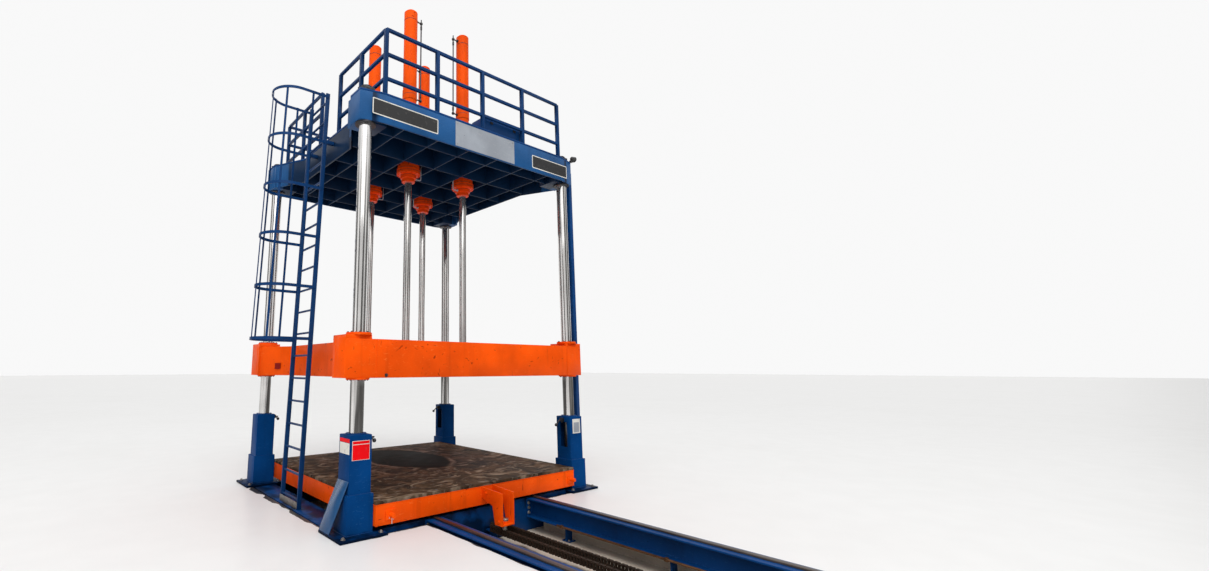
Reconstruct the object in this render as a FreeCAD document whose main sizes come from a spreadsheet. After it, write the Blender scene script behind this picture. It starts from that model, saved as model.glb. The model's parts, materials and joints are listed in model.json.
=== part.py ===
import FreeCAD, Part
import math
import os
import re

import Sketcher
from FreeCAD import Rotation, Vector

# Four-column hydraulic press with four overhead cylinders, a rolling table on floor rails,
# a caged ladder and a railed deck.  Millimetres; +Z up; X runs along the front, the table
# rolls out towards -Y.  The origin is midway between the four columns on the pit floor.

SIZES = {
    # pit and base
    "pit_depth": 380, "beam_width": 320, "flange_thick": 25, "web_thick": 20, "base_out": 178,
    "cross_out": 133, "cross_width": 220, "base_plate_side": 560, "base_plate_thick": 30,
    "foundation_out": 110, "foundation_in": 12, "foundation_hole": 18,
    # columns and the posts round their feet
    "column_y": 1612, "column_radius": 81, "post_side": 266, "post_wall": 12, "post_height": 1051,
    "sleeve_side": 314, "sleeve_height": 430, "post_lid": 20, "lid_gap": 9, "window_width": 130,
    "window_height": 360, "window_drop": 85, "table_gap": 8, "seat_gap": 0.3,
    # crown
    "crown_floor": 5135, "crown_height": 404, "crown_lip_x": 137, "crown_lip_y": 103,
    "fascia_step": 70, "fascia_inset": 176, "waist_inset": 165, "block_inset": 162,
    "waist_y": 830, "crown_wall": 30, "rib_thick": 20, "rib_pitch_x": 529, "rib_pitch_y": 591,
    "rib_drop": 12, "deck_thick": 30, "block_half": 250, "nut_radius": 120, "nut_height": 50,
    # cylinders
    "barrel_radius": 107.5, "barrel_bore": 90, "barrel_length": 2335, "cap_thick": 60,
    "rod_radius": 57, "rod_play": 0.3, "rod_spare": 25, "gland_radius": 185, "gland_nose": 125,
    "gland_drop": 60, "nose_drop": 120, "foot_side": 220, "foot_thick": 40,
    # platen
    "platen_floor": 2047, "platen_height": 441, "platen_boss": 45, "platen_lip_x": 210,
    "platen_lip_y": 100, "platen_step": 48, "platen_front_inset": 160, "platen_waist_inset": 110,
    "platen_waist_y": 900, "boss_side": 330, "platen_play": 0.06, "ring_radius": 150,
    "ring_thick": 28, "travel_down": 570,
    # table and wheels
    "table_half_x": 1635, "table_front": 1812, "table_back": 1582, "table_lift": 83,
    "table_height": 260, "table_skin": 40, "table_wall": 30, "table_roof": 20, "table_rib": 20,
    "rib_offset": 120, "notch_half": 42, "lug_radius": 28, "lug_reach": 90, "lug_level": 185,
    "lug_inset_left": 180, "lug_inset_right": 86, "wheel_radius": 100, "wheel_width": 70,
    "axle_radius": 35, "axle_play": 0.05, "wheel_base": 1150, "wheel_middle": 115,
    "bearing_side": 110, "bearing_near": 55, "bearing_width": 50,
    # floor rails
    "rail_x": 828, "rail_width": 220, "rail_sink": 49, "rail_height": 245, "rail_flange": 20,
    "rail_web": 14, "rail_reach": 5900, "strip_width": 60, "strip_thick": 20, "stool_out": 635,
    "stool_pitch": 1425, "stool_width": 120, "joint_plate": 20, "joint_lip": 10,
    "stop_foot": 200, "stop_height": 120, "stop_slope": 50, "pipe_radius": 14, "pipe_clip": 40,
    # tow clevis and chain
    "clevis_gap": 184, "clevis_thick": 20, "clevis_length": 376, "clevis_leg": 134,
    "clevis_top": 300, "clevis_drop": 97, "clevis_knee": 170, "dog_side": 60, "dog_height": 78,
    "chain_pitch": 127, "chain_teeth": 4, "chain_pitches": 31, "chain_x": 60, "chain_z": 186,
    "idler_out": 135, "link_width": 56, "link_thick": 8, "roller_radius": 24,
    "roller_height": 44, "wheel_gap": 4, "shaft_radius": 22, "shaft_spare": 30,
    "bracket_half": 70, "bracket_thick": 20, "unit_length": 420, "unit_width": 420,
    "unit_height": 260, "unit_lift": 250, "unit_wall": 24,
    # ladder and cage
    "ladder_out": 103, "ladder_lean": 156, "lean_height": 6000, "ladder_y": 5, "ladder_rise": 601,
    "stile_depth": 60, "stile_width": 30, "rung_length": 570, "rung_first": 105,
    "rung_spacing": 307, "rung_side": 26, "rung_bite": 10, "hoop_width": 40, "hoop_thick": 8,
    "cage_floor": 2545, "cage_drop": 59, "hoop_reach": 710, "cage_bar": 30,
    "bracket_level": 250, "bracket_side": 50,
    # railings
    "rail_post_side": 50, "rail_bar_side": 40, "rail_top": 905, "rail_mid": 562, "rail_low": 226,
    "railing_inset": 30, "railing_step": 50, "gap_near": 395, "gap_far": 265,
    # services
    "duct_side": 70, "duct_out": 285, "duct_inset": 77, "duct_lap": 141, "duct_top": 300,
    "duct_strap": 60, "pipe_offset": 200, "port_drop": 140, "port_rise": 831, "thin_pipe": 11,
    "port_side": 32, "box_x": 60, "box_gap": 60, "box_length": 780, "box_depth": 260,
    "box_height": 250, "switch_side": 60, "switch_depth": 40, "switch_drop": 15,
    "switch_arm": 30, "arm_side": 14, "cover_inset": 12, "cover_width": 255,
    "cover_length": 560, "cover_thick": 12, "cover_tilt": 14, "cover_skew": 150,
}
# The posts stand clear of the table, and what stands round them keeps its distance to them.
LINKED = {
    "column_x": "table_half_x + table_gap + sleeve_side / 2",
    "foundation_x": "column_x + foundation_out", "foundation_y": "column_y - foundation_in",
    "base_reach": "column_y + base_out", "cross_reach": "column_y + cross_out",
    "crown_top": "crown_floor + crown_height", "deck_floor": "crown_top - deck_thick",
    "crown_half_x": "column_x + crown_lip_x", "crown_half_y": "column_y + crown_lip_y",
    "fascia_x": "column_x - fascia_inset", "fascia_y": "crown_half_y + fascia_step",
    "waist_x": "column_x - waist_inset", "block_y": "column_y - block_inset",
    "cylinder_x": "rib_pitch_x", "cylinder_y": "rib_pitch_y", "barrel_top": "crown_top + barrel_length",
    "platen_half_x": "column_x + platen_lip_x", "platen_half_y": "column_y + platen_lip_y",
    "platen_front": "platen_half_y + platen_step", "platen_front_x": "column_x - platen_front_inset",
    "platen_waist_x": "column_x - platen_waist_inset",
    "lug_left": "table_half_x - lug_inset_left", "lug_right": "table_half_x - lug_inset_right",
    "clevis_reach": "table_front + clevis_length", "idler_y": "cross_reach + idler_out",
    "stool_first": "cross_reach + stool_out", "ladder_x": "column_x + ladder_out",
    "ladder_top": "crown_top + ladder_rise",
    "railing_x": "waist_x - railing_inset", "railing_y": "fascia_y - railing_step",
    "duct_x": "column_x + duct_out", "duct_y": "column_y - duct_inset",
    "duct_floor": "pit_depth + post_height - duct_lap", "pipe_floor": "crown_top + port_rise",
}
NAME = re.compile(r"[a-z][a-z_]*")

doc = FreeCAD.newDocument("HydraulicPress")
sheet = doc.addObject("Spreadsheet::Sheet", "Sizes")
for row, alias in enumerate(SIZES, start=1):
    sheet.set(f"A{row}", alias)
    sheet.set(f"B{row}", str(SIZES[alias]))
    sheet.setAlias(f"B{row}", alias)
doc.recompute()

SUB_PARTS = []
SIDES = (("left", -1), ("right", 1))
ENDS = (("front", -1), ("rear", 1))
TURNS = {"x": Rotation(Vector(0, 1, 0), 90), "y": Rotation(Vector(1, 0, 0), -90), "z": Rotation()}


def formula(text):
    """Turn a formula of size names into one that reads the sheet's cells."""
    def spelled(hit):
        word = hit.group()
        if word in LINKED:
            return f"({formula(LINKED[word])})"
        return f"Sizes.{word}" if word in SIZES else word
    return NAME.sub(spelled, str(text))


def value(text):
    """Work out a formula of size names as a number of millimetres."""
    return float(sheet.evalExpression(formula(text)))


def bind(piece, field, text):
    piece.setExpression(field, formula(text))


def place(piece, x, y, z):
    for axis, text in zip("xyz", (x, y, z)):
        bind(piece, "Placement.Base." + axis, text)
    return piece


def named(label, piece):
    """Give a sub-part the name of its file."""
    piece.Label = label
    SUB_PARTS.append(piece)
    return piece


def mirrored(sign, low, high):
    """A span of formulas, on the plus side or turned over to the minus side."""
    return (low, high) if sign > 0 else (f"-({high})", f"-({low})")


def block(xs, ys, zs):
    """A box between pairs of formulas."""
    piece = doc.addObject("Part::Box", "Block")
    for side, (low, high) in zip(("Length", "Width", "Height"), (xs, ys, zs)):
        bind(piece, side, f"({high}) - ({low})")
    return place(piece, xs[0], ys[0], zs[0])


def spread(middle, width):
    """A span of a given width about a middle."""
    return f"{middle} - ({width}) / 2", f"{middle} + ({width}) / 2"


def bar(radius, length, x, y, z, axis="z"):
    """A round bar that starts at a point and runs along an axis."""
    piece = doc.addObject("Part::Cylinder", "Bar")
    bind(piece, "Radius", radius)
    bind(piece, "Height", length)
    piece.Placement = FreeCAD.Placement(Vector(), TURNS[axis])
    return place(piece, x, y, z)


def prism(sides, radius, height, x, y, z, axis="z"):
    """A regular bar, its radius taken to the corners, that starts at a point and runs along an axis."""
    piece = doc.addObject("Part::Prism", "Prism")
    piece.Polygon = sides
    bind(piece, "Circumradius", radius)
    bind(piece, "Height", height)
    piece.Placement = FreeCAD.Placement(Vector(), TURNS[axis])
    return place(piece, x, y, z)


def bore(radius, height, x, y, z, axis="z"):
    """A running bore of twelve flats, each a radius away from the axis."""
    return prism(12, f"({radius}) / cos(180 / 12)", height, x, y, z, axis)


def fused(pieces):
    if len(pieces) == 1:
        return pieces[0]
    union = doc.addObject("Part::MultiFuse", "Union")
    union.Shapes = pieces
    union.Refine = True
    return union


def cut(base, tools):
    result = doc.addObject("Part::Cut", "Cut")
    result.Base = base
    result.Tool = fused(tools)
    result.Refine = True
    return result


def group(pieces):
    """Several separate solids of one kind."""
    bundle = doc.addObject("Part::Compound", "Group")
    bundle.Links = pieces
    return bundle


def sketch_of(body, plane, corners):
    """A closed outline on one of the body's planes, each corner bound to two formulas."""
    sketch = body.newObject("Sketcher::SketchObject", "Outline")
    support = [feature for feature in body.Origin.OriginFeatures if feature.Role == plane][0]
    sketch.AttachmentSupport = [(support, "")]
    sketch.MapMode = "FlatFace"
    spots = [Vector(value(across), value(up), 0) for across, up in corners]
    count = len(spots)
    for index, spot in enumerate(spots):
        sketch.addGeometry(Part.LineSegment(spot, spots[(index + 1) % count]), False)
    for index in range(count):
        sketch.addConstraint(Sketcher.Constraint("Coincident", index, 2, (index + 1) % count, 1))
    for index, (across, up) in enumerate(corners):
        spot = spots[index]
        for kind, text, number in (("DistanceX", across, spot.x), ("DistanceY", up, spot.y)):
            row = sketch.addConstraint(Sketcher.Constraint(kind, -1, 1, index, 1, number))
            bind(sketch, f"Constraints[{row}]", text)
    return sketch


def slab(plane, corners, thickness, x="0", y="0", z="0", centred=False):
    """An outline padded to a thickness; XY pads up, XZ pads to -Y and YZ pads to +X."""
    body = doc.addObject("PartDesign::Body", "Slab")
    pad = body.newObject("PartDesign::Pad", "Pad")
    pad.Profile = sketch_of(body, plane, corners)
    bind(pad, "Length", thickness)
    pad.SideType = "Symmetric" if centred else "One side"
    return place(body, x, y, z)


def turned(corners, x, y, z, axis="z"):
    """A body of revolution about its own axis from (radius, height) corners."""
    body = doc.addObject("PartDesign::Body", "Turned")
    body.Placement = FreeCAD.Placement(Vector(), TURNS[axis])
    sketch = sketch_of(body, "XZ_Plane", corners)
    spin = body.newObject("PartDesign::Revolution", "Revolution")
    spin.Profile = sketch
    spin.ReferenceAxis = (sketch, ["V_Axis"])
    spin.Angle = 360
    return place(body, x, y, z)


def four_corners(x, y):
    """The name and the signed place of each corner."""
    for end, y_sign in ENDS:
        for side, x_sign in SIDES:
            yield f"{end}_{side}", f"{x_sign} * {x}", f"{y_sign} * {y}", x_sign, y_sign


# ---------------------------------------------------------------- base frame in the pit
RAIL_FLANGE_TOP = "pit_depth + table_lift - rail_sink"
RAIL_FLOOR = f"{RAIL_FLANGE_TOP} - rail_height"
STRIP_TOP = f"{RAIL_FLANGE_TOP} + strip_thick"


def i_beam_y(x, width, ys, zs, flange, web):
    """A rolled I beam along Y, as a bottom flange, a web and a top flange."""
    across = (f"{x} - ({width}) / 2", f"{x} + ({width}) / 2")
    return [
        block(across, ys, (zs[0], f"{zs[0]} + {flange}")),
        block((f"{x} - {web} / 2", f"{x} + {web} / 2"), ys, zs),
        block(across, ys, (f"{zs[1]} - {flange}", zs[1])),
    ]


def base_frame():
    """Side beams and cross members of the pit, with the rails' inner lengths welded between them."""
    pieces = []
    reach = ("-base_reach", "base_reach")
    for _, sign in SIDES:
        pieces += i_beam_y(f"{sign} * column_x", "beam_width", reach, ("0", "pit_depth"),
                           "flange_thick", "web_thick")
        pieces += i_beam_y(f"{sign} * rail_x", "rail_width", ("-cross_reach", "cross_reach"),
                           (RAIL_FLOOR, RAIL_FLANGE_TOP), "rail_flange", "rail_web")
    inner = ("-column_x + beam_width / 2", "column_x - beam_width / 2")
    plate_edge = "column_x - base_plate_side / 2 - seat_gap"
    between_plates = (f"-({plate_edge})", plate_edge)
    for _, sign in ENDS:
        outside = mirrored(sign, "cross_reach - flange_thick", "cross_reach")
        whole = mirrored(sign, "cross_reach - cross_width", "cross_reach")
        pieces.append(block(inner, outside, ("0", "pit_depth")))
        pieces.append(block(inner, whole, ("0", "flange_thick")))
        pieces.append(block(inner, whole, ("pit_depth - flange_thick", "pit_depth")))
        pieces.append(block(between_plates, whole, ("pit_depth", RAIL_FLANGE_TOP)))
    holes = []
    for _, x, y, _, _ in four_corners("foundation_x", "foundation_y"):
        holes.append(bar("foundation_hole", "flange_thick", x, y, "0"))
    return named("base_frame", cut(fused(pieces), holes))


# ---------------------------------------------------------------- posts and columns
POST_FLOOR = "pit_depth + base_plate_thick"
POST_TOP = "pit_depth + post_height"
LID_FLOOR = f"{POST_TOP} - post_lid"


def square(side, x, y, zs):
    return block(spread(x, side), spread(y, side), zs)


def post(name, x, y, x_sign):
    """Hollow box post on its base plate: a wider sleeve below, a window on the inner face."""
    shell = fused([
        square("base_plate_side", x, y, ("pit_depth", POST_FLOOR)),
        square("sleeve_side", x, y, (POST_FLOOR, "pit_depth + sleeve_height")),
        square("post_side", x, y, (POST_FLOOR, POST_TOP)),
    ])
    window_top = f"{POST_TOP} - window_drop"
    window_x = (f"{x} - post_side", x) if x_sign > 0 else (x, f"{x} + post_side")
    hollow = [
        square("post_side - 2 * post_wall", x, y, (POST_FLOOR, LID_FLOOR)),
        prism(8, "column_radius + lid_gap", "post_lid", x, y, LID_FLOOR),
        block(window_x, (f"{y} - window_width / 2", f"{y} + window_width / 2"),
              (f"{window_top} - window_height", window_top)),
    ]
    return named(f"post_{name}", cut(shell, hollow))


def column(name, x, y):
    length = f"crown_floor - ({POST_FLOOR})"
    return named(f"column_{name}", bar("column_radius", length, x, y, POST_FLOOR))


# ---------------------------------------------------------------- crown
def waisted(half_x, half_y, front_y, front_x, waist_x, block_y, waist_y):
    """Outline with corner blocks, a waist on each side and a front and rear wall that stand proud."""
    corner = [(waist_x, waist_y), (half_x, block_y), (half_x, half_y), (front_x, front_y)]
    points = [(x, y) for x, y in corner]
    points += [(f"-({x})", y) for x, y in reversed(corner)]
    points += [(f"-({x})", f"-({y})") for x, y in corner]
    points += [(x, f"-({y})") for x, y in reversed(corner)]
    return points


def crown_outline(wall):
    return waisted(f"crown_half_x - {wall}", f"crown_half_y - {wall}", f"fascia_y - {wall}",
                   f"fascia_x - {wall} / 4", f"waist_x - {wall}", f"block_y - {wall} / 4",
                   f"waist_y - {wall} / 4")


def crown_frame():
    """Open welded grid: the outer wall, crossing ribs and a solid block over each column."""
    shell = slab("XY_Plane", crown_outline("0"), "crown_height - deck_thick", z="crown_floor")
    hollow = slab("XY_Plane", crown_outline("crown_wall"), "crown_height", z="crown_floor - deck_thick")
    ribs = []
    height = ("crown_floor + rib_drop", "deck_floor")
    across = ("-waist_x + crown_wall / 2", "waist_x - crown_wall / 2")
    along = ("-fascia_y + crown_wall / 2", "fascia_y - crown_wall / 2")
    for step in (-2.5, -1.5, -0.5, 0.5, 1.5, 2.5):
        ribs.append(block(spread(f"{step} * rib_pitch_x", "rib_thick"), along, height))
        ribs.append(block(across, spread(f"{step} * rib_pitch_y", "rib_thick"), height))
    for _, _, _, x_sign, y_sign in four_corners("column_x", "column_y"):
        outer_x = mirrored(x_sign, "column_x - block_half", "crown_half_x - crown_wall / 2")
        outer_y = mirrored(y_sign, "column_y - block_half", "crown_half_y - crown_wall / 2")
        ribs.append(block(outer_x, outer_y, ("crown_floor", "deck_floor")))
    return named("crown_frame", fused([cut(shell, [hollow])] + ribs))


def crown_deck():
    """Top plate that carries the four cylinders, bored for their rods."""
    plate = slab("XY_Plane", crown_outline("0"), "deck_thick", z="deck_floor")
    holes = [prism(6, "barrel_bore", "deck_thick", x, y, "deck_floor")
             for _, x, y, _, _ in four_corners("cylinder_x", "cylinder_y")]
    return named("crown_deck", cut(plate, holes))


def column_nuts():
    nuts = [prism(6, "nut_radius", "nut_height", x, y, "crown_top")
            for _, x, y, _, _ in four_corners("column_x", "column_y")]
    named("column_nuts", group(nuts))


# ---------------------------------------------------------------- cylinders
ROD_FLOOR = "platen_floor + platen_height"
ROD_TOP = "crown_top + travel_down + rod_spare"


def barrel(name, x, y):
    """Tube with a blind cap; its open end stands on the crown's top plate."""
    tube = bar("barrel_radius", "barrel_top - crown_top", x, y, "crown_top")
    hollow = prism(6, "barrel_bore", "barrel_top - cap_thick - crown_top", x, y, "crown_top")
    return named(f"cylinder_barrel_{name}", cut(tube, [hollow]))


def gland(x, y):
    """Two-step rod gland that hangs through its rib cell from the top plate."""
    shoulder = "crown_floor - gland_drop"
    floor = f"{shoulder} - nose_drop"
    steps = fused([
        prism(12, "gland_nose", "nose_drop", x, y, floor),
        prism(12, "gland_radius", f"deck_floor - ({shoulder})", x, y, shoulder),
    ])
    return cut(steps, [bore("rod_radius + rod_play", f"deck_floor - ({floor})", x, y, floor)])


def piston_rod(name, x, y):
    length = f"{ROD_TOP} - ({ROD_FLOOR} + foot_thick)"
    return named(f"piston_rod_{name}", bar("rod_radius", length, x, y, f"{ROD_FLOOR} + foot_thick"))


def cylinders():
    glands = []
    feet = []
    for name, x, y, _, _ in four_corners("cylinder_x", "cylinder_y"):
        barrel(name, x, y)
        piston_rod(name, x, y)
        glands.append(gland(x, y))
        feet.append(square("foot_side", x, y, (ROD_FLOOR, f"{ROD_FLOOR} + foot_thick")))
    named("cylinder_glands", group(glands))
    named("rod_feet", group(feet))


# ---------------------------------------------------------------- platen
BOSS_TOP = "platen_floor + platen_height + platen_boss"


def platen():
    body = slab("XY_Plane", waisted("platen_half_x", "platen_half_y", "platen_front", "platen_front_x",
                                    "platen_waist_x", "block_y", "platen_waist_y"),
                "platen_height", z="platen_floor")
    bosses = []
    holes = []
    for _, x, y, x_sign, y_sign in four_corners("column_x", "column_y"):
        outer_x = mirrored(x_sign, "platen_half_x - boss_side", "platen_half_x")
        outer_y = mirrored(y_sign, "platen_half_y - boss_side", "platen_half_y")
        bosses.append(block(outer_x, outer_y, ("platen_floor", BOSS_TOP)))
        through = "platen_height + platen_boss"
        holes.append(bar("column_radius + platen_play", through, x, y, "platen_floor"))
    return named("platen", cut(fused([body] + bosses), holes))


def platen_rings():
    """Scraper ring round each column, on the platen's corner bosses."""
    rings = [cut(prism(8, "ring_radius", "ring_thick", x, y, BOSS_TOP),
                 [prism(8, "column_radius + lid_gap", "ring_thick", x, y, BOSS_TOP)])
             for _, x, y, _, _ in four_corners("column_x", "column_y")]
    named("platen_rings", group(rings))


# ---------------------------------------------------------------- railings
def railing(label, axis, line, posts, reach):
    """Welded square-bar railing along X or Y: posts at the given places, three bars over the reach."""
    pieces = []
    for spot in posts:
        x, y = (spot, line) if axis == "x" else (line, spot)
        pieces.append(square("rail_post_side", x, y, ("crown_top", "crown_top + rail_top")))
    for level in ("rail_low", "rail_mid", "rail_top"):
        across = spread(line, "rail_bar_side")
        zs = spread(f"crown_top + {level}", "rail_bar_side")
        xs, ys = (reach, across) if axis == "x" else (across, reach)
        pieces.append(block(xs, ys, zs))
    return named(label, fused(pieces))


def railings():
    """Front and rear railings, and the left side's two, with a gap where the ladder comes up."""
    posts = [f"{step} * railing_x" for step in (-1, -0.5, 0, 0.5, 1)]
    for end, sign in ENDS:
        railing(f"railing_{end}", "x", f"{sign} * railing_y", posts, (posts[0], posts[-1]))
    corner = "railing_y - rail_post_side / 2 - seat_gap"
    for end, sign, gap in (("front", -1, "gap_near"), ("rear", 1, "gap_far")):
        posts = [f"{sign} * {gap}", f"{sign} * (railing_y + {gap}) / 2"]
        railing(f"railing_side_{end}", "y", "-railing_x", posts, mirrored(sign, gap, corner))


# ---------------------------------------------------------------- table and wheels
TABLE_FLOOR = "pit_depth + table_lift"
TABLE_TOP = f"{TABLE_FLOOR} + table_height"
AXLE_Z = f"{STRIP_TOP} + wheel_radius"


def table():
    """Hollow welded table: walls, roof, ribs over the rails notched for the axles, and a wear plate."""
    xs = ("-table_half_x", "table_half_x")
    ys = ("-table_front", "table_back")
    roof = f"{TABLE_TOP} - table_skin - table_roof"
    outer = block(xs, ys, (TABLE_FLOOR, f"{TABLE_TOP} - table_skin"))
    inner = block(("-table_half_x + table_wall", "table_half_x - table_wall"),
                  ("-table_front + table_wall", "table_back - table_wall"),
                  (f"{TABLE_FLOOR} - table_wall", roof))
    along = ("-table_front + table_wall / 2", "table_back - table_wall / 2")
    across = ("-table_half_x + table_wall / 2", "table_half_x - table_wall / 2")
    rise = f"{roof} + table_roof / 2"
    ribs = []
    for side in (-1, 1):
        for offset in (-1, 1):
            middle = f"{side} * rail_x + {offset} * rib_offset"
            ribs.append(block(spread(middle, "table_rib"), along, (TABLE_FLOOR, rise)))
    for step in (-0.5, 0, 0.5):
        middle = f"{step} * wheel_base - wheel_middle"
        ribs.append(block(across, spread(middle, "table_rib"), (f"{TABLE_FLOOR} + 2 * table_rib", rise)))
    notches = []
    for _, sign in ENDS:
        axle = spread(f"{sign} * wheel_base - wheel_middle", "2 * notch_half")
        notches.append(block(("-rail_x", "rail_x"), axle,
                             (f"{TABLE_FLOOR} - table_wall", f"{AXLE_Z} + notch_half")))
    named("table_frame", cut(fused([cut(outer, [inner])] + ribs), notches))
    named("table_top", block(xs, ys, (f"{TABLE_TOP} - table_skin", TABLE_TOP)))


def wheelset(name, y):
    """Two wheels pressed on the ends of one axle, turned as one piece about the X axis."""
    rim = "wheel_radius - seat_gap"
    side = [("0", "rail_x + wheel_width / 2"), (rim, "rail_x + wheel_width / 2"),
            (rim, "rail_x - wheel_width / 2"), ("axle_radius", "rail_x - wheel_width / 2")]
    other = [(radius, f"-({along})") for radius, along in reversed(side)]
    return named(f"wheelset_{name}", turned(side + other, "0", y, AXLE_Z, "x"))


def bearings():
    """Bearing block inside each wheel, bolted up to the table's roof."""
    blocks = []
    for _, sign in ENDS:
        y = f"{sign} * wheel_base - wheel_middle"
        for side in (-1, 1):
            x = mirrored(side, "rail_x - bearing_near - bearing_width", "rail_x - bearing_near")
            body = block(x, spread(y, "bearing_side"),
                         (f"{AXLE_Z} - bearing_side / 2", f"{TABLE_TOP} - table_skin - table_roof"))
            seat = bore("axle_radius + axle_play", "bearing_width", x[0], y, AXLE_Z, "x")
            blocks.append(cut(body, [seat]))
    named("axle_bearings", group(blocks))


# ---------------------------------------------------------------- floor rails
def rails():
    """Outer rail beams bolted to the cross member, their running strips, stools and end stops."""
    face = "-cross_reach - joint_plate"
    strips = []
    stools = []
    stops = []
    for side, sign in SIDES:
        middle = f"{sign} * rail_x"
        pieces = i_beam_y(middle, "rail_width", ("-rail_reach", face), (RAIL_FLOOR, RAIL_FLANGE_TOP),
                          "rail_flange", "rail_web")
        pieces.append(block(spread(middle, "rail_width + 2 * joint_lip"), (face, "-cross_reach"),
                            (RAIL_FLOOR, RAIL_FLANGE_TOP)))
        named(f"rail_beam_{side}", fused(pieces))
        strips.append(block(spread(middle, "strip_width"), ("-rail_reach", "cross_reach"),
                            (RAIL_FLANGE_TOP, STRIP_TOP)))
        for step in (0, 1, 2):
            y = f"-stool_first - {step} * stool_pitch"
            stools.append(fused([
                block(spread(middle, "stool_width"), spread(y, "rail_web"), ("0", RAIL_FLOOR)),
                square("stool_width", middle, y, ("0", "rail_web")),
            ]))
        stops.append(end_stop(middle))
    named("rail_strips", group(strips))
    named("rail_stools", group(stools))
    named("rail_end_stops", group(stops))


def end_stop(middle):
    """Wedge that stops the table's wheels at the end of a rail."""
    peak = f"{STRIP_TOP} + stop_height"
    corners = [("-rail_reach", STRIP_TOP), ("-rail_reach + stop_foot", STRIP_TOP),
               ("-rail_reach + stop_foot - stop_slope", peak), ("-rail_reach + stop_slope", peak)]
    return slab("YZ_Plane", corners, "strip_width", x=middle, centred=True)


def service_pipe():
    """Pipe clipped along the inner foot of the right-hand rail."""
    x = "rail_x - rail_width / 2 - pipe_clip / 2"
    z = f"{RAIL_FLOOR} + pipe_clip / 2"
    length = "rail_reach - stool_first + 2 * pipe_clip"
    pieces = [prism(6, "pipe_radius", length, x, "-rail_reach", z, "y")]
    for step in (0, 1, 2):
        y = f"-stool_first - {step} * stool_pitch"
        pieces.append(block(spread(x, "pipe_clip"), spread(y, "pipe_clip"),
                            (RAIL_FLOOR, f"{RAIL_FLOOR} + pipe_clip")))
    named("service_pipe", fused(pieces))


# ---------------------------------------------------------------- chain drive
def flat_prism(middle, corners, floor, height):
    """A flat outline round a point, given as (x, y) pairs, raised to a height."""
    outline = [middle + Vector(x, y, floor) for x, y in corners]
    return Part.Face(Part.makePolygon(outline + outline[:1])).extrude(Vector(0, 0, height))


def regular(radius, sides):
    """Corners of a regular outline."""
    turns = [2 * math.pi * step / sides for step in range(sides)]
    return [(radius * math.cos(turn), radius * math.sin(turn)) for turn in turns]


def link_plate(start, ahead, floor):
    """One side plate that reaches past both its pins."""
    half = value("link_width / 2")
    aside = Vector(-ahead.y, ahead.x, 0) * half
    tip = ahead * half
    near = start - tip
    far = start + ahead * value("chain_pitch") + tip
    outline = [near - aside, far - aside, far + aside, near + aside]
    return flat_prism(Vector(), [(spot.x, spot.y) for spot in outline], floor, value("link_thick"))


def chain_radius():
    return value("chain_pitch / (2 * sin(180 / chain_teeth))")


def chain_pins():
    """Pin places round the endless chain, which lies flat in the trench, and its two wheels."""
    pitch = value("chain_pitch")
    teeth = int(value("chain_teeth"))
    runs = int(value("chain_pitches"))
    radius = chain_radius()
    idler = Vector(value("chain_x"), -value("idler_y"), value("chain_z"))
    drive = idler - Vector(0, runs * pitch, 0)
    spots = [idler - Vector(radius, step * pitch, 0) for step in range(runs)]
    for wheel, start in ((drive, math.pi), (idler, 0)):
        for step in range(teeth // 2):
            angle = start + step * 2 * math.pi / teeth
            spots.append(wheel + Vector(math.cos(angle), math.sin(angle), 0) * radius)
        if wheel is drive:
            spots += [drive + Vector(radius, step * pitch, 0) for step in range(runs)]
    return spots, idler, drive


def chain():
    """Roller chain of inner and outer links: two side plates and a hexagonal roller a pitch."""
    spots, idler, drive = chain_pins()
    thick = value("link_thick")
    height = value("roller_height")
    pieces = []
    for index, spot in enumerate(spots):
        ahead = (spots[(index + 1) % len(spots)] - spot).normalize()
        lift = height / 2 + (thick if index % 2 else 0)
        level = value("chain_z")
        pieces.append(link_plate(spot, ahead, level + lift))
        pieces.append(link_plate(spot, ahead, level - lift - thick))
        pieces.append(flat_prism(spot, regular(value("roller_radius"), 6), -height / 2, height))
    loop = doc.addObject("Part::Feature", "Chain")
    loop.Shape = Part.makeCompound(pieces)
    named("drive_chain", loop)
    teeth = int(value("chain_teeth"))
    face = height - 2 * value("wheel_gap")
    hub = chain_radius() - value("roller_radius")
    wheels = []
    for middle in (idler, drive):
        body = flat_prism(middle, regular(hub, 2 * teeth), -face / 2, face)
        hollow = flat_prism(middle, regular(value("shaft_radius + seat_gap"), 6), -face / 2, face)
        wheels.append(body.cut(hollow))
    disc = doc.addObject("Part::Feature", "Wheels")
    disc.Shape = Part.makeCompound(wheels)
    named("chain_wheels", disc)


DRIVE_Y = "-(idler_y + chain_pitches * chain_pitch)"
BRACKET_TOP = "chain_z - roller_height / 2 - 2 * link_thick - seat_gap"


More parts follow.
